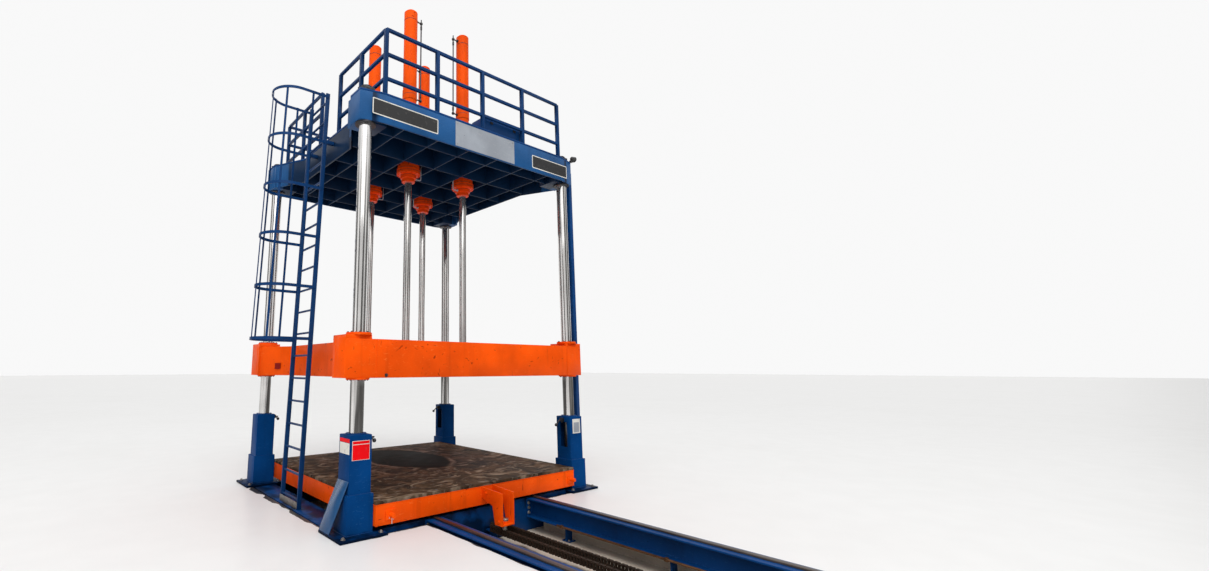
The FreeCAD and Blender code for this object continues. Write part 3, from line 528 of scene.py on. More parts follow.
# Base paint with painted pit shade laid on as black patches.
BASE_BLUE = blue("base_blue", soil=pit_shade_patches)
DARK_BLUE = blue("blue_paint_shaded", (0.003, 0.036, 0.13), (0.03, 0.08, 0.2))
COVER_BLUE = blue("cover_blue", (0.012, 0.075, 0.2), (0.06, 0.16, 0.32), roughness=(0.16, 0.3),
                  shine=0.6)
ORANGE = paint("orange_paint", "orange_paint", (0.93, 0.088, 0.002), (0.36, 0.028, 0.003),
               (0.95, 0.25, 0.05), soil=handled, shine=0.05)
# The glands' orange: a darker copy of the orange, painted shade for their place under the crown,
# with darker grime.
SHADED_GLAND_ORANGE = paint("gland_orange_shaded", "orange_paint", (0.66, 0.052, 0.002), (0.2, 0.014, 0.002),
                     (0.9, 0.2, 0.04), soil=handled)
# Chrome whose oil streaks, grime streaks and lower bands also serve as painted reflection bands.
CHROME = metal("hard_chrome", "hard_chrome", (0.82, 0.805, 0.79), (0.05, 0.14),
               (0.42, 0.405, 0.38), (1, 1, 0.06), 0.05, (0.2, 0.19, 0.18))
OLD_STEEL = metal("weathered_steel", "bare_steel", (0.06, 0.06, 0.065), (0.35, 0.6),
                  (0.025, 0.02, 0.018))
STEEL = metal("bare_steel", "bare_steel", (0.4, 0.385, 0.36), (0.3, 0.6), (0.12, 0.085, 0.06))
RAIL_STEEL = metal("rolled_steel", "bare_steel", (0.13, 0.11, 0.1), (0.35, 0.6),
                   (0.05, 0.032, 0.022), (3, 0.2, 1))
CHAIN_STEEL = paint("greased_chain", "bare_steel", (0.03, 0.019, 0.013), (0.006, 0.004, 0.003),
                    (0.11, 0.065, 0.035), (0.5, 0.75))
RUST = metal("rusted_pipe", "bare_steel", (0.16, 0.085, 0.045), (0.5, 0.75),
             (0.05, 0.025, 0.015))
IRON = metal("cast_iron", "cast_housings", (0.11, 0.11, 0.115), (0.45, 0.7), (0.04, 0.03, 0.03))
BLACK = plastic("black_plastic", "black_plastic", (0.012, 0.012, 0.013))
PLATE = paint("grey_plate", "bare_steel", (0.31, 0.335, 0.375), (0.2, 0.21, 0.24),
              (0.5, 0.5, 0.5), (0.35, 0.55))
DARK_RED = paint("red_primer", "orange_paint", (0.22, 0.006, 0.003), (0.05, 0.004, 0.003),
                 (0.4, 0.02, 0.01))
RED = plastic("red_sign", "orange_paint", (0.78, 0.002, 0.006), 0.1)
CREAM = plastic("cream_sign", "orange_paint", (0.72, 0.7, 0.64))

BY_SLOT = {"blue_paint": BLUE, "orange_paint": ORANGE, "hard_chrome": CHROME, "bare_steel": STEEL,
           "dark_steel": work_plate(), "cast_housings": IRON, "black_plastic": BLACK}
BY_NODE = {"rail_strips": RAIL_STEEL, "drive_chain": CHAIN_STEEL, "chain_wheels": CHAIN_STEEL,
           "service_pipe": RUST, "crown_frame": CROWN_LIT_AND_SHADED_BLUE, "leaning_cover": COVER_BLUE,
           "column_nuts": OLD_STEEL, "base_frame": BASE_BLUE}
BY_NODE.update({f"post_{name}": POST_BLUE for name in COLUMN})
BY_NODE.update({name: DARK_BLUE for name in NODES if name.startswith(("railing", "ladder"))})


WIDEST_EDGE = 0.005
EDGE_SHARE = 0.12  # of a node's thinnest side


def dress_nodes():
    """The CAD's own solids: paint or metal, and edges broken as a welder's grinder leaves them."""
    slots = {part["node"]: part["material_slot"] for part in frame["record"]["subparts"]}
    for name, node in NODES.items():
        look = BY_NODE.get(name, BY_SLOT[slots[name]])
        thin = min(high - low for low, high in zip(*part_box(name)))
        dress(node, look, 0 if look is CHROME else min(WIDEST_EDGE, thin * EDGE_SHARE))


# ---- columns and posts
def column_rings():
    """Steel ring under the crown and gland ring, with its bolts, on the post's lid."""
    steel, lids = Shape(), Shape()
    bore = COLUMN_RADIUS + 0.0012
    lid = POST_HIGH.z
    for spot in COLUMN.values():
        steel.ring(spot, bore, 0.128, CROWN_LOW.z - 0.022, CROWN_LOW.z, below=0.004)
        lids.ring(spot, bore, 0.118, lid, lid + 0.012, above=0.004)
        lids.bolts(around(spot, lid + 0.012, 0.102, 6), 0.006)
    steel.build("column_seat_rings", OLD_STEEL)
    lids.build("post_lid_rings", BLUE)


def stud_ends():
    """Washer on each column nut and the stud's end above it."""
    ends = Shape()
    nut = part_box("column_nuts")[1].z
    for spot in COLUMN.values():
        ends.ring(spot, 0.04, 0.078, nut, nut + 0.038, above=0.008)
        ends.lathe([(0, -0.02), (0.041, -0.02), (0.041, 0.046), (0.036, 0.052), (0, 0.052)],
                   at(spot, nut), segments=32)
    ends.build("column_stud_ends", OLD_STEEL)


def foot_bolts():
    """Anchor bolts of the posts' base plates, with the welds round each post's two tubes."""
    bolts, welds = Shape(), Shape()
    for spot in COLUMN.values():
        for place in square(spot, 0.222, FLOOR + BASE_PLATE):
            bolts.bolt(place, 0.02, turn=dice.random())
        welds.weld_square(spot, SLEEVE_HALF, FLOOR + BASE_PLATE)
        welds.weld_square(spot, POST_HALF, FLOOR + SLEEVE_TALL)
    bolts.build("anchor_bolts", STEEL, 0.0012)
    welds.build("post_welds", BLUE)


def switches():
    """Roller switch on each post."""
    housing, lever = Shape(), Shape()
    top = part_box("limit_switches")[1].z
    for name, x_sign, _ in CORNERS:
        face = COLUMN[name] - Vector((x_sign * POST_HALF, 0, 0))
        switch(housing, lever, at(face, top), x_sign)
    piece = housing.build("limit_switch_bodies", BLACK, 0.0025)
    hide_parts("limit_switches")
    lever.build("limit_switch_levers", BLACK, 0.0008)


def switch(housing, lever, origin, x_sign):
    """Housing, lid, cable gland, lever with its roller, and a knob on an arm."""

    def place(out, aside, down):
        """A place out from the post's inner face, aside, and down from the housing's top."""
        return origin + Vector((-x_sign * out, aside, -down))

    housing.box(place(0, -0.02, 0.06), place(0.05, 0.02, 0.006))
    housing.box(place(0.05, -0.017, 0.056), place(0.057, 0.017, 0.01))
    housing.lathe([(0.011, -0.014), (0.013, -0.004), (0.013, 0.0)], place(0.028, 0, 0.06),
                  segments=18)
    lever.rod(place(0.045, -0.024, 0.02), place(0.045, 0.024, 0.02), 0.008)
    lever.block(place(0.066, -0.0235, 0.03), (0.05, 0.005, 0.012))
    lever.lathe([(0.004, -0.007), (0.011, -0.007), (0.011, 0.007), (0.004, 0.007)],
                place(0.078, -0.013, 0.034), "Y", 20, True)
    knob = place(0.125, 0.03, 0.105) if x_sign > 0 else place(0.085, -0.03, 0.07)
    lever.rod(place(0.046, 0.021, 0.028), knob, 0.009)
    lever.lathe([(0.0, -0.024), (0.017, -0.018), (0.024, 0.0), (0.017, 0.018), (0.0, 0.024)],
                knob, segments=18)


def signs():
    """Plain plates where the press carries its signs: fields of colour only."""
    front = COLUMN["front_left"].y - POST_HALF
    left = COLUMN["front_left"].x - POST_HALF
    red, pale, field = Shape(), Shape(), Shape()
    red.box((-1.901, front - 0.0035, 1.17), (-1.697, front - 0.0015, 1.329))
    red.box((-1.901, front - 0.0035, 1.337), (-1.697, front - 0.0015, 1.367))
    red.box((left - 0.0022, -1.735, 1.353), (left, -1.497, 1.393))
    red.build("red_fields", RED, 0.0004)
    pale.box((-1.906, front - 0.0015, 1.165), (-1.692, front, 1.372))
    pale.box((left - 0.0018, -1.735, 1.23), (left, -1.497, 1.349))
    pale.box((1.722, front - 0.002, 1.185), (1.892, front, 1.394))
    pale.build("pale_plates", CREAM, 0.0006)
    field.box((1.745, front - 0.0028, 1.2), (1.869, front - 0.002, 1.345))
    field.build("grey_field", PLATE)


# ---- crown
# Where words were painted on the front: lower left and upper right corners.
FIELDS = (((-1.8, 5.215), (-0.82, 5.425)), ((0.95, 5.19), (1.745, 5.395)))


def fascia():
    """The grey plate in the middle of the front, and plain dark fields in the words' places."""
    face = CROWN_LOW.y
    plate, rivets, pale, dark = (Shape() for _ in range(4))
    plate.box((-0.53, face - 0.004, 5.145), (0.572, face, 5.5))
    plate.build("fascia_plate", PLATE, 0.001)
    for x in (-0.5, 0.542):
        for z in (5.175, 5.47):
            rivets.lathe([(0.0, -0.009), (0.006, -0.008), (0.009, -0.004)], (x, face, z), "Y", 14)
    rivets.build("fascia_rivets", STEEL)
    edge = 0.014
    for (x0, z0), (x1, z1) in FIELDS:
        pale.extrude(rounded((x0, z0), (x1, z1), edge, face), (0, -0.0012, 0))
        dark.extrude(rounded((x0 + edge, z0 + edge), (x1 - edge, z1 - edge), edge / 2,
                             face - 0.0012), (0, -0.0008, 0))
    pale.build("field_edges", CREAM)
    dark.build("plain_fields", BLACK)


def rounded(low, high, radius, y):
    """Outline of an upright field with rounded corners, in a plane across Y."""
    left, right = low[0] + radius, high[0] - radius
    bottom, top = low[1] + radius, high[1] - radius
    spots = []
    for index, (x, z) in enumerate(((right, top), (left, top), (left, bottom), (right, bottom))):
        for step in range(5):
            angle = math.pi / 2 * (index + step / 4)
            spots.append((x + radius * math.cos(angle), y, z + radius * math.sin(angle)))
    return spots


def corner_lamp():
    """Small black lamp on a bracket at the crown's front right corner."""
    spot = Vector((1.975, -1.735, 5.6))
    lamp = Shape()
    lamp.block(spot + Vector((-0.03, 0.01, -0.045)), (0.05, 0.05, 0.03))
    lamp.rod(spot + Vector((-0.03, 0.01, -0.04)), spot, 0.012)
    lamp.lathe([(0.018, -0.05), (0.036, -0.03), (0.042, 0.03), (0.046, 0.034), (0.046, 0.042),
                (0.038, 0.042), (0.034, 0.03)], spot, "X", 28)
    lamp.build("corner_lamp", BLACK, 0.001)


# ---- cylinders
def barrels():
    """Barrel with a chamfered, screwed-in cap, joint rings and a foot flange on the deck."""
    plugs, joints, flange, bolts = (Shape() for _ in range(4))
    r = BARREL_RADIUS
    cap = 0.022  # the cap's chamfer
    belt, over = 6.3, 6.472  # the joint's raised belt
    seat = DECK_TOP + 0.03
    for name, spot in BARREL.items():
        low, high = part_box(f"cylinder_barrel_{name}")
        top = high.z
        shape = Shape()
        shape.lathe([
            (0.092, low.z), (r, low.z), (r, belt), (r + 0.007, belt + 0.006),
            (r + 0.007, over - 0.006), (r, over), (r, top - 0.2), (r - 0.003, top - 0.198),
            (r - 0.003, top - 0.19), (r, top - 0.188), (r, top - cap - 0.027),
            (r - 0.004, top - cap - 0.023), (r - cap, top - 0.027), (r - cap - 0.006, top - 0.023),
            (0.02, top - 0.023)], at(spot), segments=72)
        piece = shape.build(f"barrel_{name}", ORANGE)
        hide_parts(f"cylinder_barrel_{name}")
        plugs.bolt(at(spot, top - 0.0235), 0.018)
        for out, z in ((0.0075, belt + 0.084), (0.0005, top - 0.196), (0.0005, belt),
                       (0.0005, seat)):
            joints.ring(spot, r + out - 0.004, r + out, z, z + 0.006, segments=72)
        flange.ring(spot, r - 0.002, 0.165, DECK_TOP, seat, above=0.004, segments=72)
        bolts.bolts(around(spot, seat, 0.138, 8), 0.012)
    plugs.build("barrel_plugs", BLACK)
    joints.build("barrel_joint_rings", BLACK)
    flange.build("barrel_flanges", ORANGE, 0.0015)
    bolts.build("barrel_flange_bolts", STEEL)


def glands():
    """Stepped rod glands under the crown, their flange bolts, joint rings and drain pipes."""
    body, joints, bolts, pipes = (Shape() for _ in range(4))
    low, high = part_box("cylinder_glands")
    foot = low.z
    bore = ROD_RADIUS + 0.0008
    shoulder = CROWN_LOW.z - 0.06
    for name, x_sign, _ in CORNERS:
        spot = BARREL[name]
        body.lathe([
            (bore, foot), (0.094, foot), (0.1, foot + 0.006), (0.1, foot + 0.05),
            (0.117, foot + 0.056), (0.12, foot + 0.06), (0.12, shoulder - 0.012), (0.15, shoulder),
            (0.176, shoulder), (0.18, shoulder + 0.004), (0.18, shoulder + 0.075),
            (0.166, shoulder + 0.082), (0.166, high.z), (bore, high.z)], at(spot), segments=72,
            closed=True)
        for radius, level in ((0.1, foot + 0.051), (0.12, shoulder - 0.018),
                              (0.166, shoulder + 0.083), (0.1815, shoulder + 0.034)):
            joints.ring(spot, radius - 0.004, radius + 0.001, level, level + 0.005, segments=72)
        bolts.bolts(around(spot, shoulder, 0.163, 12), 0.011, -1)
        pipe = [(spot.x - x_sign * out, spot.y - 0.02, z) for out, z in
                ((0.11, shoulder - 0.045), (0.215, shoulder - 0.045), (0.215, CROWN_LOW.z + 0.12))]
        pipes.sweep(bend(pipe, 0.03), 0.008)
        union = (spot.x - x_sign * 0.119, spot.y - 0.02, shoulder - 0.045)
        pipes.bolt(union, 0.016, "X", -x_sign)
    piece = body.build("gland_bodies", SHADED_GLAND_ORANGE)
    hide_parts("cylinder_glands")
    bolts.build("gland_bolts", SHADED_GLAND_ORANGE)
    joints.build("gland_joint_rings", BLACK)
    pipes.build("gland_pipes", PLATE)


def feed_pipes():
    """Pipe beside each barrel with bends, black fittings and a clamp."""
    tubes, fittings = Shape(), Shape()
    low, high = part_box("cylinder_pipes")
    top = high.z - 0.016
    bottom = low.z + 0.016
    clamp = 6.95
    for name, x_sign, _ in CORNERS:
        spot = BARREL[name]
        y = spot.y
        x = spot.x - x_sign * 0.2
        wall = spot.x - x_sign * (BARREL_RADIUS - 0.004)
        port = spot.x - x_sign * (BARREL_RADIUS - 0.002)
        tubes.sweep(bend([(wall, y, top), (x, y, top), (x, y, bottom), (wall, y, bottom)], 0.035),
                    0.011)
        for z, union in ((top, top - 0.08), (bottom, bottom + 0.08)):
            fittings.bolt((port, y, z), 0.022, "X", -x_sign)
            fittings.ring(Vector((x, y, 0)), 0.011, 0.016, union - 0.03, union + 0.03, segments=20)
            fittings.lathe([(0.0, -0.024), (0.018, -0.02), (0.024, -0.008), (0.024, 0.008),
                            (0.018, 0.02), (0.0, 0.024)], (x, y, z), segments=20)
        fittings.rod((x, y, top), (x, y, top + 0.07), 0.009)
        fittings.box((x - 0.014, y - 0.02, clamp), (wall, y + 0.02, clamp + 0.025))
    piece = tubes.build("feed_pipes", IRON)
    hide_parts("cylinder_pipes")
    foot_pipe(fittings)
    fittings.build("feed_pipe_fittings", BLACK, 0.001)


def foot_pipe(fittings):
    """Rigid pipe bent round the front left barrel's foot to a valve with a lever."""
    spot = at(BARREL["front_left"], DECK_TOP + 0.11)
    bow = BARREL_RADIUS + 0.016
    arc = [spot + heading(math.pi * (1 + step / 16)) * bow for step in range(17)]
    fittings.sweep([arc[0] + Vector((0, 0.05, 0)), *arc, arc[-1] + Vector((0.055, 0, 0))], 0.01)
    valve = spot + Vector((0.205, 0, 0))
    fittings.block(valve, (0.05, 0.05, 0.07))
    fittings.rod(valve, valve - Vector((0, 0.06, 0)), 0.008)
    fittings.block(valve + Vector((0, -0.063, 0.02)), (0.014, 0.008, 0.075))


# ---- platen
def platen_rings():
    """Scraper rings above and below the platen, with their screws."""
    rings, screws = Shape(), Shape()
    low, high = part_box("platen_rings")
    under = PLATEN_LOW.z
    bore = COLUMN_RADIUS + 0.0015
    for spot in COLUMN.values():
        rings.ring(spot, bore, 0.148, low.z, high.z, above=0.004, segments=64)
        rings.ring(spot, bore, 0.134, under - 0.02, under, below=0.004, segments=64)
        screws.bolts(around(spot, high.z, 0.126, 8), 0.012)
        screws.bolts(around(spot, under - 0.02, 0.112, 8), 0.009, -1)
    piece = rings.build("platen_ring_turnings", ORANGE, body="platen")
    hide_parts("platen_rings")
    screws.build("platen_ring_screws", IRON, body="platen")


def platen_welds():
    """Beads up the corner blocks and the front wall's ends, and round the blocks' top plates."""
    beads = Shape()
    low = PLATEN_LOW.z + 0.004
    top = PLATEN_HIGH.z - 0.045
    side, front, block_x, block_y = 2.01, 1.712, 1.68, 1.382
    for _, x_sign, y_sign in CORNERS:
        for x, y in ((side, 1.45), (1.69, 0.9), (1.64, 1.76)):
            x *= x_sign
            y *= y_sign
            beads.weld((x, y, low), (x, y, top), 0.004)
        x = x_sign * block_x
        y = y_sign * block_y
        beads.weld((x, y, top), (x_sign * side, y, top))
        beads.weld((x, y, top), (x, y_sign * front, top))
    beads.build("platen_welds", ORANGE, body="platen")


def platen_marks():
    """Dark red cover on the rear left block's slant and a plug in the front's lower edge."""
    cover, plug = Shape(), Shape()
    middle = Vector((-1.805, 1.073, 2.187))
    along = Vector((-0.553, 0.833, 0)) * 0.05
    out = Vector((-0.833, -0.553, 0)) * 0.008
    rise = Vector((0, 0, 0.045))
    cover.extrude([middle - along - rise, middle + along - rise, middle + along + rise,
                   middle - along + rise], out)
    cover.build("platen_side_cover", DARK_RED, 0.002, body="platen")
    plug.bolt((-1.512, PLATEN_LOW.y + 0.0015, PLATEN_LOW.z + 0.03), 0.016, "Y", -1)
    plug.build("platen_plug", IRON, body="platen")


def rod_feet():
    """Clamp collar and screws on each rod's foot plate."""
    collars, screws = Shape(), Shape()
    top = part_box("rod_feet")[1].z
    for spot in BARREL.values():
        collars.ring(spot, ROD_RADIUS + 0.0006, 0.092, top, top + 0.028, above=0.006)
        screws.bolts(square(spot, 0.082, top), 0.013)
    collars.build("rod_collars", ORANGE, body="platen")
    screws.build("rod_foot_screws", IRON, body="platen")


# ---- ladder
LEAN = 0.156 / 6.0
LADDER_X = -1.903  # at the floor
HOOP_REACH = 0.701  # from the ladder to the bow's back
HOOPS = 6
BAR_THICK = 0.008
BAR_HALF = 0.015
HOOP_TALL = 0.04


def cage():
    """Flat-bar hoops bent round, and the upright bars welded inside them."""
    low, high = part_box("ladder_cage")
    inside = (high.y - low.y) / 2 - BAR_THICK
    outside = inside + BAR_THICK
    straight = HOOP_REACH - outside
    bars = Shape()

    def back(z, turn, radius, aside=0.0):
        """A place round the cage's bow, or straight on beside it."""
        cosine, sine = math.cos(turn), math.sin(turn)
        return (LADDER_X + LEAN * (z - FLOOR) - straight - radius * cosine + aside * sine,
                (high.y + low.y) / 2 + radius * sine + aside * cosine, z)

    def rise(outline, tall):
        """A closed outline, raised along the ladder's lean."""
        bars.extrude(outline, (LEAN * tall, 0, tall))

    for step in range(HOOPS):
        z = low.z + step * (high.z - low.z - HOOP_TALL) / (HOOPS - 1)
        for part in range(32):
            turns = [math.pi * (part + sub) / 32 - math.pi / 2 for sub in (0, 1)]
            rise([back(z, turn, outside) for turn in turns]
                 + [back(z, turn, inside) for turn in turns[::-1]], HOOP_TALL)
        for side in (-1, 1):
            rise([back(z, side * math.pi / 2, radius, side * ahead) for radius, ahead in
                  ((outside, 0), (inside, 0), (inside, straight), (outside, straight))],
                 HOOP_TALL)
    thin = inside - BAR_THICK
    for turn, aside in ((-360 / 7, 0), (0, 0), (360 / 7, 0), (-90, -inside / 2), (90, inside / 2)):
        rise([back(low.z, math.radians(turn), radius, aside + across) for radius, across in
              ((inside, -BAR_HALF), (inside, BAR_HALF), (thin, BAR_HALF), (thin, -BAR_HALF))],
             high.z - low.z)
    piece = bars.build("cage_bars", DARK_BLUE)
    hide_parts("ladder_cage")


def ladder_foot():
    """Pale flat bar across the ladder's feet, on the pit's edge."""
    low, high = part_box("ladder")
    step = Shape()
    step.box((low.x + 0.002, low.y + 0.03, FLOOR + 0.002),
             (low.x + 0.058, high.y - 0.03, FLOOR + 0.012))
    step.box((low.x - 0.004, low.y + 0.004, FLOOR + 0.012), (low.x, high.y - 0.004, FLOOR + 0.09))
    step.build("ladder_foot_bar", STEEL, 0.001)


# ---- table, clevis and chain
def table_trim():
    """Lifting lugs on pad plates, paint drips, the plate's countersunk screws and weld beads."""
    lugs, drips, screws, beads = (Shape() for _ in range(4))
    low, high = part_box("table_lugs")
    front = TABLE_LOW.y
    pad = 0.012
    z = (low.z + high.z) / 2
    for x in (low.x + 0.028, high.x - 0.028):
        lugs.box((x - 0.06, front - pad, z - 0.055), (x + 0.06, front, z + 0.055))
        lugs.lathe([(0.012, -0.09), (0.022, -0.09), (0.0265, -0.085), (0.0265, -pad), (0.034, 0)],
                   (x, front, z), "Y", 32)
    piece = lugs.build("lifting_lugs", ORANGE, 0.002, body="table")
    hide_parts("table_lugs")
    start = z - 0.01
    for aside, length, wide in ((0.045, 0.088, 0.004), (0.062, 0.05, 0.003), (0.012, 0.03, 0.003)):
        x = low.x + aside
        drips.extrude(rounded((x - wide, start - length), (x + wide, start), wide * 0.9,
                              front - pad - 0.0001), (0, -0.0008, 0))
    drips.build("paint_drips", CREAM, body="table")
    seam, top = (corner.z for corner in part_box("table_top"))
    for x in (-1.56, -0.78, 0, 0.78, 1.56):
        for y in (-1.74, -1.18, -0.1, 0.95, 1.5):
            if abs(x) > 1 or abs(y) > 1.4:
                screws.lathe([(0.0, 0.0006), (0.006, 0.0008), (0.016, 0.001), (0.017, 0.0)],
                             (x, y, top), segments=20)
    screws.build("work_plate_screws", IRON, body="table")
    near = Vector((TABLE_LOW.x, front, seam))
    far = Vector((TABLE_HIGH.x, front, seam))
    depth = Vector((0, TABLE_HIGH.y - front, 0))
    for begin, end in ((near, far), (near, near + depth), (far, far + depth)):
        beads.weld(begin, end, 0.0045)
    beads.build("table_welds", ORANGE, body="table")


def clevis_trim():
    """Turned tow pin with its boss, and the cheeks' bolts and weld beads."""
    pin, boss, beads = Shape(), Shape(), Shape()
    low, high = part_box("tow_dog")
    spot = (low + high) / 2
    top = high.z
    pin.lathe([(0.0, low.z), (0.026, low.z), (0.03, low.z + 0.004), (0.03, top + 0.02),
               (0.03, top + 0.05), (0.046, top + 0.05), (0.046, top + 0.07), (0.04, top + 0.076)],
              at(spot), segments=36)
    piece = pin.build("tow_pin", STEEL, body="table")
    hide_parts("tow_dog")
    boss.ring(spot, 0.0305, 0.052, top + 0.02, top + 0.048, segments=36)
    low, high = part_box("tow_clevis")
    for side, x in ((-1, low.x), (1, high.x)):
        for y, z in ((-2.13, 0.33), (-1.9, 0.62)):
            boss.bolt((x, y, z), 0.016, "X", side)
    boss.build("clevis_boss", ORANGE, body="table")
    cheek = 0.02
    for x in (low.x, low.x + cheek, high.x - cheek, high.x):
        beads.weld((x, TABLE_LOW.y, 0.55), (x, TABLE_LOW.y, 0.68), 0.005)
    beads.build("clevis_welds", ORANGE, body="table")


PITCH = 0.127
TEETH = 4
RUNS = 31  # pitches in each straight run
CHAIN_X = 0.06
IDLER_Y = -1.88
CHAIN_Z = 0.186
FINER = 3  # links in each of the source's pitches


def chain_pins():
    """The pins of the source's chain, all round its loop."""
    radius = PITCH / (2 * math.sin(math.pi / TEETH))
    idler = Vector((CHAIN_X, IDLER_Y, CHAIN_Z))
    drive = idler - Vector((0, RUNS * PITCH, 0))
    turns = [step * 2 * math.pi / TEETH for step in range(TEETH // 2)]
    pins = []
    for begin, end, sign in ((idler, drive, -1), (drive, idler, 1)):
        pins += [begin + Vector((radius, step * PITCH, 0)) * sign for step in range(RUNS)]
        pins += [end + heading(turn) * radius * sign for turn in turns]
    return pins


def chain():
    """Waisted link plates, rollers, bushes and riveted pin ends, all round the loop; the real
    chain's fine pitch is a third of the source's, along the same line, as wide and as high."""
    corners = chain_pins()
    pins = [corner.lerp(corners[(index + 1) % len(corners)], part / FINER)
            for index, corner in enumerate(corners) for part in range(FINER)]
    thick = 0.0075
    shape = Shape()
    for index, pin in enumerate(pins):
        ahead = pins[(index + 1) % len(pins)] - pin
        along = ahead.normalized()
        aside = Vector((-along.y, along.x, 0))
        lift, half = (0.03, 0.02) if index % 2 else (0.022, 0.026)
        outline = []
        for base, sign in ((pin, -1), (pin + ahead, 1)):
            for step in range(7):
                angle = math.pi * (step / 6 - 0.5)
                outline.append(base + along * sign * half * 0.8 * math.cos(angle)
                               + aside * sign * half * math.sin(angle))
            outline.append(pin + ahead / 2 + aside * sign * half * 0.72)
        for level in (lift, -lift - thick):
            shape.extrude([spot + Vector((0, 0, level)) for spot in outline], (0, 0, thick))
        shape.lathe([(0.0, -0.022), (0.0165, -0.0215), (0.0165, 0.0215), (0.0, 0.022)], pin,
                    segments=14)
        shape.lathe([(0.0, -0.0385), (0.006, -0.038), (0.008, -0.036), (0.008, 0.036),
                     (0.006, 0.038), (0.0, 0.0385)], pin, segments=10)
    piece = shape.build("chain_links", CHAIN_STEEL)
    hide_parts("drive_chain")


STOOLS_Y = (-2.38, -3.805, -5.23)
BEADS = 26  # beads along each edge of a running strip


def rail_joints():
    """Bolts of the joint plates and stools, and the beads along the running strips."""
    bolts, beads = Shape(), Shape()
    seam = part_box("rail_strips")[0].z
    for side in SIDES:
        low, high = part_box(f"rail_beam_{side}")
        middle = (low.x + high.x) / 2
        for offset in (-0.088, 0.088):
            for level in (0.25, 0.5, 0.75):
                z = low.z + level * (high.z - low.z)
                bolts.bolt((middle + offset, high.y - 0.02, z), 0.018, "Y", -1, dice.random())
        for y in STOOLS_Y:
            for offset in (-0.04, 0.04):
                bolts.bolt((middle + offset, y - 0.035, 0.014), 0.012)
        for edge in (-0.03, 0.03):
            for step in range(BEADS):
                y = low.y + (BASE_HIGH.y - low.y) * (step + 0.3) / BEADS
                beads.weld((middle + edge, y, seam), (middle + edge, y + 0.09, seam), 0.004)
    bolts.build("rail_bolts", STEEL)
    beads.build("rail_welds", DARK_BLUE)


def box_trim():
    """Front plate and catches of the box on the deck, and the drive housing's cover and bolts."""
    lid, catches = Shape(), Shape()
    low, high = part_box("deck_box")
    lid.box((low.x + 0.012, low.y - 0.003, low.z + 0.03), (high.x - 0.012, low.y, high.z - 0.03))
    for x in (low.x + 0.16, high.x - 0.16):
        catches.block((x, low.y - 0.009, high.z - 0.06), (0.05, 0.012, 0.035))
    low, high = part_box("drive_housing")
    cover = high.z + 0.004
    lid.box((low.x + 0.03, low.y + 0.03, high.z), (high.x - 0.03, high.y - 0.03, cover))
    for x in (low.x + 0.05, high.x - 0.05):
        for y in (low.y + 0.05, high.y - 0.05):
            catches.bolt((x, y, cover), 0.01)
    lid.build("cover_plates", DARK_BLUE, 0.0015)
    catches.build("cover_catches", OLD_STEEL, 0.002)


# ---- hall floor, light and camera
def concrete(name, colour, dark, amount=0.5, spread=0.12, soil=None):
    look = Look(name, None, colour, shine=0.2, spread=spread)
    look.stain(look.band(look.noise(0.35, 6, offset=1), 0.5, 0.8, amount), dark)
    if soil:
        look.stain(soil(look), faded(dark, 0.4))
    look.rough(look.noise(0.5, 3), 0.34, 0.4)
    return look.done()


def greased(look):
    """Chain grease and dirt on the trench's floor: under the two runs, and along its edges."""
    ragged = look.times(look.maths("SUBTRACT", look.noise(3, 6), 0.5), 0.22)
    away = look.maths("ABSOLUTE", look.maths("SUBTRACT", look.part("X"), CHAIN_X))
    off = look.maths("ADD", away, ragged)
    runs = look.band(off, 0.17, 0.12, 0.94)
    edges = look.band(off, TRENCH_X - 0.3, TRENCH_X - 0.15, 0.25)
    return look.maths("MAXIMUM", runs, edges)


PIT_X = BASE_HIGH.x + 0.03
PIT_Y = BASE_HIGH.y + 0.035
TRENCH_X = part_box("rail_beam_right")[1].x + 0.012
TRENCH_Y = CAD_BOX[0][1] - 0.06
PIT_FLOOR = -0.002
HALL = 150
EDGE_STEP = 0.02
CHUNK = 8  # steps in each break of the pit's edge


